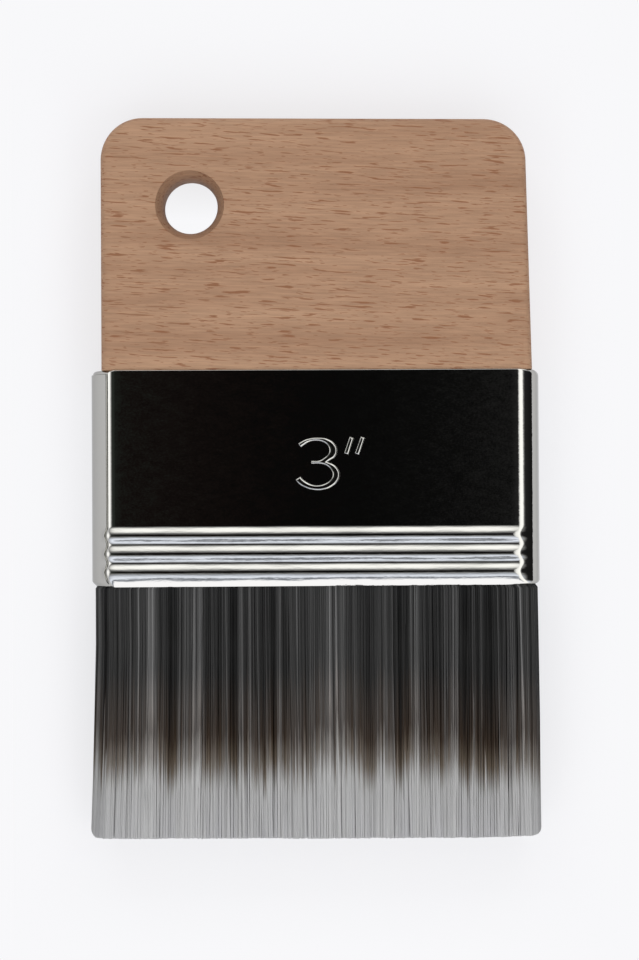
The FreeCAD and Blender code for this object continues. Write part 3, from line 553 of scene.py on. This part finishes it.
def handle_point(kind, t, z, point):
    """Where a row of the block's skin crosses one point of its outline."""
    x, y, inward_x, inward_y = point
    if kind == "hole":
        away = Vector((x - HOLE_CENTRE[0], y - HOLE_CENTRE[1])).normalized()
        radius = HOLE_WAIST + (HOLE_RIM - HOLE_WAIST) * t ** 2
        x, y = HOLE_CENTRE[0] + radius * away.x, HOLE_CENTRE[1] + radius * away.y
    else:
        x, y = x + t * inward_x, y + t * inward_y
        y -= (CUT_DROP + CUT_SLOPE * x) * max(y - TOP, 0.0) / (HANDLE_TOP - TOP)
    return Vector((x, y, MIDDLE + z)) * MM


def shaped_handle():
    """The block with its worn hole, and the tenon that runs down inside the ferrule."""
    mesh = sleeve("handle_block", handle_ring(), handle_rows(), handle_point, crease=30)
    ring = wrap_outline()
    bm = bmesh.new()
    bm.from_mesh(mesh)
    loop = bmesh.ops.create_circle(bm, cap_ends=True, radius=1.0, segments=len(ring))["verts"]
    # The tenon stands clear of the sheet, and its head is hidden in the block
    clear, hidden = 0.05, 0.1
    for vert, (x, z, nx, nz, end) in zip(loop, ring):
        inset = SHEET + clear + (SHOULDER_STEP - SHEET) * abs(end)
        vert.co = Vector((x - inset * nx, TOP - hidden, MIDDLE + z - inset * nz)) * MM
    cap = [face for face in bm.faces if len(face.verts) == len(ring)]
    grown = bmesh.ops.extrude_face_region(bm, geom=cap, use_keep_orig=True)["geom"]
    down = [item for item in grown if isinstance(item, bmesh.types.BMVert)]
    depth = (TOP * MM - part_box("handle")[0].y) - hidden * MM
    bmesh.ops.translate(bm, verts=down, vec=(0.0, -depth, 0.0))
    bmesh.ops.recalc_face_normals(bm, faces=bm.faces[:])
    bm.to_mesh(mesh)
    bm.free()
    smooth(mesh, crease=30)
    return mesh


# The size figure's outline, in millimetres from the middle of the front face, drawn as one
# round-bowled numeral with thin terminals, and the two slanted strokes of its inch mark
FIGURE = [
    (-2.95, 5.72), (-1.5, 6.45), (0.65, 6.7), (2.15, 6.38), (3.3, 5.5), (3.63, 4.5),
    (3.25, 3.5), (2.4, 2.92), (1.95, 2.6), (2.9, 2.2), (3.65, 1.55), (4.05, 0.55),
    (3.75, -0.5), (2.8, -1.45), (1.3, -2.05), (-0.25, -2.1), (-1.75, -1.7), (-2.95, -0.95),
    (-3.42, -0.38), (-2.62, 0.15), (-1.75, -0.65), (-0.65, -1.2), (0.4, -1.3), (1.5, -1.05),
    (2.45, -0.4), (2.85, 0.45), (2.55, 1.3), (1.8, 2.0), (0.85, 2.3), (-0.75, 2.3),
    (-0.75, 2.8), (0.6, 2.85), (1.4, 3.3), (2.15, 4.0), (2.3, 4.6), (2.0, 5.4),
    (1.25, 5.95), (0.0, 6.18), (-1.2, 5.95), (-1.85, 5.55), (-2.5, 5.1),
]
FIGURE_CORNERS = {0, 8, 18, 19, 29, 30, 40}
INCH_MARKS = [((5.14, 4.0), (6.04, 6.66)), ((6.93, 3.96), (7.92, 6.68))]
# A stroke's corners: distance from its end, angle off its line, and how flat the ends are
STROKE, STROKE_TURN, STROKE_FLAT = 0.46, math.radians(55), 0.2
EMBOSS = 0.27


def stamped_outline(points, corners=()):
    """A closed drawn outline as a filled curve with a rolled edge, turned into a mesh."""
    curve = bpy.data.curves.new("size_mark_outline", "CURVE")
    curve.dimensions, curve.fill_mode, curve.resolution_u = "2D", "FRONT", 6
    spline = curve.splines.new("BEZIER")
    spline.use_cyclic_u = True
    spline.bezier_points.add(len(points) - 1)
    for index, (knot, (x, y)) in enumerate(zip(spline.bezier_points, points)):
        knot.co = (x * MM, y * MM, 0.0)
        kind = "VECTOR" if index in corners else "AUTO"
        knot.handle_left_type = knot.handle_right_type = kind
    curve.offset = -EMBOSS * MM
    curve.bevel_depth = EMBOSS * MM
    curve.bevel_resolution = 4
    curve.extrude = 0.02 * MM
    holder = bpy.data.objects.new("size_mark_outline", curve)
    mesh = bpy.data.meshes.new_from_object(holder)
    bpy.data.objects.remove(holder)
    bpy.data.curves.remove(curve)
    return mesh


def stamped_mark():
    """The size figure and its inch mark, pressed out of the sheet in low relief."""
    bm = bmesh.new()
    meshes = [stamped_outline(FIGURE, FIGURE_CORNERS)]
    half = STROKE * math.sin(STROKE_TURN)
    overrun = STROKE * math.cos(STROKE_TURN) * STROKE_FLAT
    for low, high in INCH_MARKS:
        low, high = Vector(low), Vector(high)
        along = (high - low).normalized()
        across = Vector((-along.y, along.x))
        corners = [
            tuple(end + foot * (along * overrun - across * side * half))
            for end, foot in ((low, -1), (high, 1)) for side in (-1, 1)
        ]
        meshes.append(stamped_outline(corners, range(4)))
    for mesh in meshes:
        bm.from_mesh(mesh)
        bpy.data.meshes.remove(mesh)
    bmesh.ops.remove_doubles(bm, verts=bm.verts[:], dist=0.001 * MM)
    bmesh.ops.translate(bm, verts=bm.verts[:], vec=(0, 0, FACE * MM))
    mesh = bpy.data.meshes.new("size_mark")
    bm.to_mesh(mesh)
    bm.free()
    smooth(mesh, crease=60)
    return mesh


# Stations of a strand, from the resin out to its tip: distance below the mouth, how much the
# wrap's section is grown there on the left and on the right, and half the head's thickness
STATIONS = np.array([
    (-10.5, -1.05, -1.05, 7.7), (-0.4, -0.85, -0.85, 7.85), (0.5, -0.3, -0.15, 8.0),
    (10.0, -0.3, -0.03, 8.1), (22.0, 0.0, 0.1, 8.15), (33.0, 0.3, 0.15, 8.2),
    (42.4, 0.62, 0.28, 8.2),
])
# The strands inside the head bend at fewer stations than the ones in its skin
SKIN, CORE = list(range(7)), [1, 4, 6]
SIDES = 3
# Half the thickness of the head that the strands fill, and of its core
HEAD_HALF, CORE_HALF = 8.0, 7.6
# Layers of strands in the skin, their distance as a share of the pitch, and their unevenness
SKIN_LAYERS, LAYER_STEP, SKIN_ROUGH = 3, 0.85, 0.12
# How far from the middle of the head a bank's strands start, and their heels by the spacer
BANK_CLEAR, HEEL_CLEAR = 0.12, 1.55
# How the strands stray by their tips, in millimetres: together and alone, sideways and in depth
LEAN_WIDE, LEAN_PITCH, LEAN_ALONE, LIFT_ALONE = 0.45, 7.0, 0.28, 0.05
# How far clumps gather, as a share of their pitch, and how late the strands bend on their way
GATHER, LATE_BEND = 0.1, 1.4
# The trimmed edge: how far it reaches out past the ferrule's ends and the solids' tips, its
# corners' radii, its waves as height and pitch, single strands' unevenness, its right end's rise
TIP_SPREAD, TIP_REACH = 0.45, 0.2
TIP_CORNERS = {-1: 1.3, 1: 2.0}
TIP_WAVES, TIP_ROUGH, TIP_RISE = ((0.1, 5.0), (0.05, 1.5)), 0.09, 0.25
# How the painted shade and sheen and the dye's reach differ from strand to strand, in waves of a
# size and a pitch
SHADE_SHEEN_WAVES, SHADE_SHEEN_ROUGH = ((0.11, 4.0), (0.27, 1.3), (0.36, 0.45)), 0.09
DYE_WAVES, DYE_ROUGH, DYE_IN_DARK = ((0.5, 6.0), (1.1, 0.9)), 0.9, 2.4


def unit_strand(stations):
    """A three-sided prism with a cut at each whole number of Z, as a mesh."""
    bm = bmesh.new()
    bmesh.ops.create_circle(bm, cap_ends=True, radius=1.0, segments=SIDES)
    for _ in range(stations - 1):
        end = max(bm.faces, key=lambda f: f.calc_center_median().z)
        grown = bmesh.ops.extrude_face_region(bm, geom=[end])["geom"]
        verts = [item for item in grown if isinstance(item, bmesh.types.BMVert)]
        bmesh.ops.translate(bm, verts=verts, vec=(0, 0, 1.0))
    bmesh.ops.recalc_face_normals(bm, faces=bm.faces[:])
    mesh = bpy.data.meshes.new("unit_strand")
    bm.to_mesh(mesh)
    bm.free()
    return mesh


def wander(rng, x, pitch):
    """A smooth random value along the brush's width, with a turn every pitch millimetres."""
    knots = np.arange(-45.0, 45.0 + pitch, pitch)
    return np.interp(x, knots + rng.uniform(-0.3, 0.3, len(knots)) * pitch,
                     rng.uniform(-1.0, 1.0, len(knots)))


def waves(rng, x, sizes, start=0.0):
    """Wandering values of several sizes and pitches, added up from start."""
    return sum((size * wander(rng, x, pitch) for size, pitch in sizes), start)


def skin_places(rng, pitch):
    """Close layers of strands round the head's outside: shares of its width and depth."""
    places = []
    for layer in range(SKIN_LAYERS):
        inward = layer * LAYER_STEP * pitch
        along = np.arange(-1.0, 1.0, pitch / HALF_WIDTH)
        along = along + rng.uniform(-0.45, 0.45, len(along)) * pitch / HALF_WIDTH
        deep = 1 - (inward + rng.uniform(0.0, SKIN_ROUGH, len(along))) / HEAD_HALF
        places.append(np.column_stack([np.clip(along, -1, 1), deep]))
        for side in (-1, 1):
            rise = np.arange(0.01, 1.0, pitch / HEAD_HALF)
            out = side * (1 - (inward + rng.uniform(0.0, SKIN_ROUGH, len(rise))) / HALF_WIDTH)
            places.append(np.column_stack([out, rise]))
    return np.concatenate(places)


def core_places(rng, pitch):
    """The strands that fill the head: shares of its width and depth from a jittered grid."""
    across, layers = int(2 * HALF_WIDTH / pitch), int(CORE_HALF / pitch)
    u, w = np.meshgrid(np.arange(across), np.arange(layers))
    u = (u.ravel() + rng.uniform(0.05, 0.95, u.size)) / across * 2 - 1
    w = (w.ravel() + rng.uniform(0.1, 0.9, w.size)) / layers
    return np.column_stack([u * (1 - 0.9 * pitch / HALF_WIDTH), w * 0.95])


def section_reach(side, z, grow, level):
    """reach_at for every strand at once."""
    return np.array([reach_at(s, h, grow, level) for s, h in zip(side, z)])


def strand_paths(rng, look, places, bank, chosen):
    """Centre lines of one bank's strands, in millimetres: a row of stations for each."""
    u, w = places.T
    side = np.where(u < 0, -1, 1)
    thick = look.strand_diameter / MM / 2
    paths = np.zeros((len(u), len(chosen), 3))
    lean = LEAN_WIDE * wander(rng, u * HALF_WIDTH, LEAN_PITCH)
    lean = lean + rng.normal(0.0, LEAN_ALONE, len(u))
    lift = rng.normal(0.0, LIFT_ALONE, len(u))
    clump = look.clump_pitch / MM
    gather = GATHER * clump * wander(rng, u * HALF_WIDTH, clump / 2)
    mouth = HALF_WIDTH + STATIONS[1][1] - thick
    for index, station in enumerate(chosen):
        below, left, right, half = STATIONS[station]
        fan = max(below, 0.0) / STATIONS[-1][0]
        low = HEEL_CLEAR if station == 0 else BANK_CLEAR
        z = low + w * (half - thick - low) + lift * fan
        z = np.clip(z, low, half - thick)
        reach = np.where(
            u < 0, section_reach(side, z, left - thick, half),
            section_reach(side, z, right - thick, half),
        )
        # Only the strands near a narrow end bend outwards below the mouth
        x = u * mouth + side * (reach - mouth) * np.abs(u) ** 3
        x = np.clip(x + (lean + gather) * fan ** LATE_BEND, -reach, reach)
        paths[:, index] = np.column_stack([x, np.full(len(u), MOUTH - below), MIDDLE + bank * z])
    tip = paths[:, -1, 0]
    wave = waves(rng, tip, TIP_WAVES)
    radius = np.where(tip < 0, TIP_CORNERS[-1], TIP_CORNERS[1])
    inside = np.clip(HALF_WIDTH + TIP_SPREAD - np.abs(tip), 0.0, radius)
    rounded = radius - np.sqrt(radius ** 2 - (radius - inside) ** 2)
    uneven = np.abs(rng.normal(0.0, TIP_ROUGH, len(u)))
    rise = TIP_RISE * np.clip(tip / HALF_WIDTH, 0.0, 1.0) ** 3
    paths[:, -1, 1] = TIPS - TIP_REACH + rounded + wave + uneven + rise
    return paths


def strand_mesh(name, rng, look, places, bank, chosen):
    """Many strands as one mesh, with a painted shade and sheen and a dye shift for each."""
    unit = unit_strand(len(chosen))
    shape = np.zeros(len(unit.vertices) * 3)
    unit.vertices.foreach_get("co", shape)
    shape = shape.reshape(-1, 3)
    bm = bmesh.new()
    for _ in places:
        bm.from_mesh(unit)
    mesh = bpy.data.meshes.new(name)
    bm.to_mesh(mesh)
    bm.free()
    bpy.data.meshes.remove(unit)
    paths = strand_paths(rng, look, places, bank, chosen)
    stations = np.rint(shape[:, 2]).astype(int)
    thick = np.full(len(chosen), look.strand_diameter / MM / 2)
    # The trim leaves the ends a little thinner
    thick[-1] *= 0.9
    spins = rng.uniform(0, 2 * math.pi, len(places))
    cos, sin = np.cos(spins)[:, None], np.sin(spins)[:, None]
    points = paths[:, stations, :]
    points[:, :, 0] += (cos * shape[None, :, 0] - sin * shape[None, :, 1]) * thick[stations]
    points[:, :, 2] += (sin * shape[None, :, 0] + cos * shape[None, :, 1]) * thick[stations]
    mesh.vertices.foreach_set("co", (points * MM).astype(np.float32).ravel())
    x = paths[:, 1, 0]
    # Painted shade and sheen: clumps darker for shade in their gaps and paler for sheen, and a
    # little random tone from strand to strand
    shade_sheen_values = waves(rng, x, SHADE_SHEEN_WAVES, 0.5) + rng.normal(0.0, SHADE_SHEEN_ROUGH, len(places))
    # Strands painted dark as shade keep their dye further towards the tips
    shifts = waves(rng, x, DYE_WAVES, DYE_IN_DARK * (0.5 - shade_sheen_values))
    shifts = shifts + rng.normal(0.0, DYE_ROUGH, len(places))
    for attribute, values in (("strand_shade_sheen", shade_sheen_values), ("strand_shift", shifts * MM)):
        layer = mesh.attributes.new(attribute, "FLOAT", "POINT")
        layer.data.foreach_set("value", np.repeat(values, len(shape)).astype(np.float32))
    smooth(mesh)
    return mesh


class BrushLook(bpy.types.PropertyGroup):
    """The colours and sizes of the brush that a user would change."""

    wood_pale: bpy.props.FloatVectorProperty(
        name="Wood, pale", description="The beech's lighter bands",
        subtype="COLOR", size=4, min=0.0, max=1.0, default=linear("AD896D"),
    )
    wood_dark: bpy.props.FloatVectorProperty(
        name="Wood, dark", description="The beech's darker bands",
        subtype="COLOR", size=4, min=0.0, max=1.0, default=linear("9A765C"),
    )
    wood_fleck: bpy.props.FloatVectorProperty(
        name="Wood, flecks", description="The short ray flecks in the beech",
        subtype="COLOR", size=4, min=0.0, max=1.0, default=linear("85573A"),
    )
    nickel: bpy.props.FloatVectorProperty(
        name="Nickel", description="What the plated sheet reflects head on",
        subtype="COLOR", size=4, min=0.0, max=1.0, default=linear("BEBDB9"),
    )
    filament_root: bpy.props.FloatVectorProperty(
        name="Filament, root", description="Charcoal near the ferrule",
        subtype="COLOR", size=4, min=0.0, max=1.0, default=linear("2D2D2D"),
    )
    filament_dye: bpy.props.FloatVectorProperty(
        name="Filament, dye line", description="Brown where the dye ends",
        subtype="COLOR", size=4, min=0.0, max=1.0, default=linear("41362D"),
    )
    filament_fade: bpy.props.FloatVectorProperty(
        name="Filament, fade", description="Warm grey between the dye line and the tips",
        subtype="COLOR", size=4, min=0.0, max=1.0, default=linear("736A60"),
    )
    filament_tip: bpy.props.FloatVectorProperty(
        name="Filament, tips", description="Undyed grey at the tips",
        subtype="COLOR", size=4, min=0.0, max=1.0, default=linear("B9B9B9"),
    )
    filament_end: bpy.props.FloatVectorProperty(
        name="Filament, ends", description="The palest grey, at the trimmed ends",
        subtype="COLOR", size=4, min=0.0, max=1.0, default=linear("C8C8CA"),
    )
    strand_pitch: bpy.props.FloatProperty(
        name="Strand pitch", description="Distance between the strands inside the head",
        subtype="DISTANCE", unit="LENGTH", min=0.2 * MM, max=1.0 * MM, default=0.32 * MM,
    )
    skin_pitch: bpy.props.FloatProperty(
        name="Skin pitch", description="Distance between the strands that show on the outside",
        subtype="DISTANCE", unit="LENGTH", min=0.1 * MM, max=1.0 * MM, default=0.2 * MM,
    )
    strand_seed: bpy.props.IntProperty(
        name="Strand seed", description="Another seed gives another lay of the strands",
        min=0, default=7,
    )
    strand_diameter: bpy.props.FloatProperty(
        name="Strand diameter", description="Thickness of one strand",
        subtype="DISTANCE", unit="LENGTH", min=0.1 * MM, max=0.8 * MM, default=0.36 * MM,
    )
    clump_pitch: bpy.props.FloatProperty(
        name="Clump pitch", description="Distance between the clumps that the tips gather in",
        subtype="DISTANCE", unit="LENGTH", min=0.5 * MM, max=6.0 * MM, default=1.4 * MM,
    )


class StageLook(bpy.types.PropertyGroup):
    """The floor, the light and the camera."""

    floor: bpy.props.FloatVectorProperty(
        name="Floor", description="The pale floor's colour",
        subtype="COLOR", size=4, min=0.0, max=1.0, default=linear("8E8E90"),
    )
    floor_radius: bpy.props.FloatProperty(
        name="Floor radius", description="Radius of the round floor",
        subtype="DISTANCE", unit="LENGTH", min=0.1, max=5.0, default=0.27,
    )
    camera_height: bpy.props.FloatProperty(
        name="Camera height", description="Height of the camera above the front face",
        subtype="DISTANCE", unit="LENGTH", min=0.2, max=3.0, default=0.6,
    )
    camera_lens: bpy.props.FloatProperty(
        name="Lens", description="Focal length in millimetres on a 36 mm sensor",
        min=20.0, max=400.0, default=133.9,
    )
    camera_roll: bpy.props.FloatProperty(
        name="Roll", description="How far the camera is turned about its own axis",
        subtype="ANGLE", unit="ROTATION", default=math.radians(-0.23),
    )
    lamp_level: bpy.props.FloatProperty(
        name="Lamp level", description="Brightness of the softboxes' faces, 1 being white",
        min=0.0, max=10.0, default=1.5,
    )


# What the metal mirrors, as soft-edged panels: degrees from straight up towards +X or +Y,
# the level there and its tint. Overhead is a dark studio ceiling.
WARM, COOL, PLAIN = (1.0, 1.0, 0.985), (0.88, 0.93, 1.05), (1.0, 1.0, 1.0)
MILD, GREEN, OLIVE, RED = (0.96, 0.96, 1.0), (0.85, 1.0, 0.88), (0.9, 1.0, 0.88), (1.0, 0.7, 0.65)
PANELS_ACROSS = [
    (-90, 1.9, PLAIN), (-66, 1.8, PLAIN), (-50, 0.35, PLAIN), (-38, 0.05, GREEN),
    (-9, 0.035, GREEN), (-4.5, 0.02, OLIVE), (-2.5, 0.011, RED),
    (0, 0.004, PLAIN), (2, 0.007, PLAIN), (4, 0.019, PLAIN), (8, 0.04, PLAIN),
    (13, 1.6, WARM), (18, 1.9, WARM), (30, 1.9, WARM), (36, 0.3, PLAIN), (44, 0.03, PLAIN),
    (90, 0.015, PLAIN),
]
PANELS_ALONG = [
    (-90, 1.9, MILD), (-71, 1.9, MILD), (-65, 0.7, COOL), (-60.5, 0.35, COOL), (-57, 1.2, COOL),
    (-53, 1.7, COOL), (-43, 1.1, COOL), (-36, 0.66, COOL), (-28, 0.4, PLAIN), (-20, 0.15, PLAIN),
    (-12, 0.004, PLAIN), (12, 0.004, PLAIN), (19, 0.08, PLAIN), (33, 0.32, PLAIN),
    (40, 0.52, PLAIN), (46, 1.0, WARM), (54, 1.6, WARM), (58, 1.9, WARM), (70, 1.9, WARM),
    (78, 0.25, PLAIN), (90, 0.02, PLAIN),
]
PANEL_PEAK = 1.9
# The even light from all round on everything but metal
FILL_LEVEL = 0.42
# How far the floor shines of itself, to the camera and up at the brush
FLOOR_LIFT = {"seen": 0.7, "bounced": 0.62}
WHITE_GROUND = linear("F8F8FA")
# Half the width and length of the brush with its nearest shadow, in metres, and where the
# floor's own shading goes over into plain white: shares of the way out to twice that
SHADOW_HALF = (0.040, 0.062)
SHADOW_STOPS = [(0.36, 1), (0.46, 0), (0.52, 0), (0.66, 1)]

# Each softbox: its middle's angle from straight up and its compass bearing from +Y, in
# degrees, its size across and along that bearing and its distance, in metres
SOFTBOXES = {
    "back_softbox": (55.0, 0.0, 1.6, 1.23, 1.3),
    "front_softbox": (33.0, 180.0, 1.6, 1.44, 1.3),
    "right_softbox": (20.5, 90.0, 0.6, 0.55, 1.2),
}
# What the camera stands over, in millimetres: the middle of the photo
AIM = (0.62, -0.43)


class BRUSH_OT_stage(bpy.types.Operator):
    """Lay the pale floor, hang the softboxes and set up the camera"""

    bl_idname = "brush.stage"
    bl_label = "Stage"

    def execute(self, context):
        look = context.scene.stage_look
        scene = context.scene
        self.lay_floor(look)
        self.light_world(scene)
        for name, box in SOFTBOXES.items():
            self.hang(name, look.lamp_level, *box)
        camera = bpy.data.cameras.new("camera")
        camera.sensor_width, camera.lens = 36.0, look.camera_lens
        camera.clip_start, camera.clip_end = 0.01, 20.0
        holder = bpy.data.objects.new("camera", camera)
        holder.location = (AIM[0] * MM, AIM[1] * MM, FACE * MM + look.camera_height)
        holder.rotation_euler = (0.0, 0.0, look.camera_roll)
        scene.collection.objects.link(holder)
        scene.camera = holder
        scene.view_settings.view_transform = "Standard"
        return {"FINISHED"}

    def lay_floor(self, look):
        """A round pale floor. It keeps the brush's soft shadow near it, and is plain beyond."""
        bm = bmesh.new()
        bmesh.ops.create_circle(bm, cap_ends=True, radius=look.floor_radius, segments=96)
        mesh = bpy.data.meshes.new("floor")
        bm.to_mesh(mesh)
        bm.free()
        material, tree = new_material("matt_white_floor")
        ray = add_node(tree, "LightPath")
        seen = ray.outputs["Is Camera Ray"]
        # 1 at the brush's outline and more outside it, so that the shadow fades within 25 mm
        place = add_node(tree, "TexCoord").outputs["Object"]
        outline = add_node(
            tree, "VectorMath", {"operation": "MULTIPLY"},
            {0: place, 1: (1 / SHADOW_HALF[0], 1 / SHADOW_HALF[1], 0.0)},
        )
        parts = add_node(tree, "SeparateXYZ", inputs={"Vector": outline.outputs[0]})
        away = calculate(
            tree, "MAXIMUM", calculate(tree, "ABSOLUTE", parts.outputs["X"]),
            calculate(tree, "ABSOLUTE", parts.outputs["Y"]),
        )
        stops = [(share, (grey, grey, grey, 1)) for share, grey in SHADOW_STOPS]
        plain = calculate(tree, "MULTIPLY", seen, tints(tree, remap(tree, away, (0.0, 2.0)), stops))
        upward = calculate(
            tree, "MAXIMUM", ray.outputs["Is Glossy Ray"], ray.outputs["Is Diffuse Ray"],
        )
        bounced = calculate(tree, "MULTIPLY", upward, FLOOR_LIFT["bounced"])
        lift = calculate(tree, "MULTIPLY_ADD", seen, FLOOR_LIFT["seen"], bounced)
        cloth = add_node(
            tree, "BsdfPrincipled",
            inputs={"Base Color": look.floor, "Roughness": 0.9, "Specular IOR Level": 0.1,
                    "Emission Color": WHITE_GROUND, "Emission Strength": lift},
        )
        ground = add_node(tree, "Emission", inputs={"Color": WHITE_GROUND, "Strength": 1.0})
        shader = add_node(
            tree, "MixShader",
            inputs={"Fac": plain, 1: cloth.outputs[0], 2: ground.outputs[0]},
        )
        mesh.materials.append(finish_material(material, shader))
        floor = bpy.data.objects.new("floor", mesh)
        bpy.context.scene.collection.objects.link(floor)

    def light_world(self, scene):
        """White to the camera, an even fill on the brush, and soft wide panels to its metal."""
        world = bpy.data.worlds.new("studio")
        world.use_nodes = True
        tree = world.node_tree
        tree.nodes.clear()
        ray = add_node(tree, "LightPath")
        toward = add_node(
            tree, "SeparateXYZ", inputs={"Vector": add_node(tree, "TexCoord").outputs["Generated"]}
        )
        panels = []
        for axis, edges in (("X", PANELS_ACROSS), ("Y", PANELS_ALONG)):
            place = remap(tree, toward.outputs[axis], (-1.0, 1.0))
            stops = []
            for angle, level, tint in edges:
                colour = (*(level / PANEL_PEAK * c for c in tint), 1)
                stops.append(((math.sin(math.radians(angle)) + 1) / 2, colour))
            panels.append(tints(tree, place, stops))
        brighter = add_node(
            tree, "Mix", {"data_type": "RGBA", "blend_type": "LIGHTEN"},
            {0: 1.0, MIX_A: panels[0], MIX_B: panels[1]},
        )
        metal = add_node(
            tree, "Background",
            inputs={"Color": brighter.outputs[MIX_RESULT], "Strength": PANEL_PEAK},
        )
        fill = add_node(tree, "Background", inputs={"Strength": FILL_LEVEL})
        white = add_node(tree, "Background", inputs={"Color": WHITE_GROUND, "Strength": 1.0})
        lit = add_node(tree, "MixShader", inputs={
            "Fac": ray.outputs["Is Glossy Ray"], 1: fill.outputs[0], 2: metal.outputs[0]})
        mixed = add_node(tree, "MixShader", inputs={
            "Fac": ray.outputs["Is Camera Ray"], 1: lit.outputs[0], 2: white.outputs[0]})
        add_node(tree, "OutputWorld", inputs={"Surface": mixed.outputs[0]})
        scene.world = world

    def hang(self, name, level, tilt, bearing, across, along, distance):
        """A softbox whose face is as bright as level, aimed at the brush."""
        lamp = bpy.data.lights.new(name, "AREA")
        lamp.shape, lamp.size, lamp.size_y = "RECTANGLE", across, along
        lamp.energy = math.pi * across * along * level
        holder = bpy.data.objects.new(name, lamp)
        turned = Matrix.Rotation(math.radians(-bearing), 4, "Z")
        leaned = Matrix.Rotation(math.radians(-tilt), 4, "X")
        holder.matrix_world = turned @ leaned @ Matrix.Translation((0, 0, distance))
        # The metal mirrors the world's panels in place of the lamps
        holder.visible_glossy = False
        bpy.context.scene.collection.objects.link(holder)


class BRUSH_OT_handle(bpy.types.Operator):
    """Shape the handle's block and its hanging hole in sanded beech"""

    bl_idname = "brush.handle"
    bl_label = "Handle"

    def execute(self, context):
        beech = sanded_beech(context.scene.brush_look)
        block = new_piece("handle_block", shaped_handle(), beech)
        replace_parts(block, "handle")
        return {"FINISHED"}


class BRUSH_OT_ferrule(bpy.types.Operator):
    """Wrap the beaded ferrule in bright nickel plate"""

    bl_idname = "brush.ferrule"
    bl_label = "Ferrule"

    def execute(self, context):
        plate = bright_nickel(context.scene.brush_look)
        wrap = sleeve("ferrule_sheet", wrap_outline(), ferrule_rows(), ferrule_point, crease=50)
        sheet = new_piece("ferrule_sheet", wrap, plate)
        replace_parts(sheet, "ferrule")
        new_piece("size_mark", stamped_mark(), plate)
        return {"FINISHED"}


class BRUSH_OT_filament(bpy.types.Operator):
    """Fill the head with two banks of separate strands"""

    bl_idname = "brush.filament"
    bl_label = "Filament"

    def execute(self, context):
        look = context.scene.brush_look
        rng = np.random.default_rng(look.strand_seed)
        material = drawn_filament(look)
        for node, bank in (("filament_front", 1), ("filament_back", -1)):
            for part, places, chosen in (
                ("skin", skin_places(rng, look.skin_pitch / MM), SKIN),
                ("core", core_places(rng, look.strand_pitch / MM), CORE),
            ):
                name = f"{node}_{part}"
                mesh = strand_mesh(name, rng, look, places, bank, chosen)
                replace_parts(new_piece(name, mesh, material), node)
        return {"FINISHED"}


class BRUSH_OT_fixings(bpy.types.Operator):
    """Finish the brads, the resin and the spacer strip"""

    bl_idname = "brush.fixings"
    bl_label = "Brads, resin and spacer"

    def execute(self, context):
        repaint("ferrule_brads", drawn_wire())
        repaint("setting_resin", cast_epoxy())
        repaint("spacer_strip", sawn_poplar())
        return {"FINISHED"}


STEPS = (BRUSH_OT_stage, BRUSH_OT_handle, BRUSH_OT_ferrule, BRUSH_OT_filament, BRUSH_OT_fixings)


class BRUSH_PT_panel(bpy.types.Panel):
    """The brush's pieces, one button each"""

    bl_idname = "BRUSH_PT_panel"
    bl_label = "Flat cleaning brush"
    bl_space_type = "VIEW_3D"
    bl_region_type = "UI"
    bl_category = "Brush"

    def draw(self, context):
        for step in STEPS:
            self.layout.operator(step.bl_idname)
        for group in (context.scene.brush_look, context.scene.stage_look):
            for name in group.__annotations__:
                self.layout.prop(group, name)


CLASSES = (BrushLook, StageLook, *STEPS, BRUSH_PT_panel)


def register():
    for item in CLASSES:
        bpy.utils.register_class(item)
    bpy.types.Scene.brush_look = bpy.props.PointerProperty(type=BrushLook)
    bpy.types.Scene.stage_look = bpy.props.PointerProperty(type=StageLook)


def unregister():
    del bpy.types.Scene.stage_look
    del bpy.types.Scene.brush_look
    for item in reversed(CLASSES):
        bpy.utils.unregister_class(item)


def main():
    register()
    bpy.ops.brush.stage()
    bpy.ops.brush.handle()
    bpy.ops.brush.ferrule()
    bpy.ops.brush.filament()
    bpy.ops.brush.fixings()


if __name__ == "__main__":
    main()
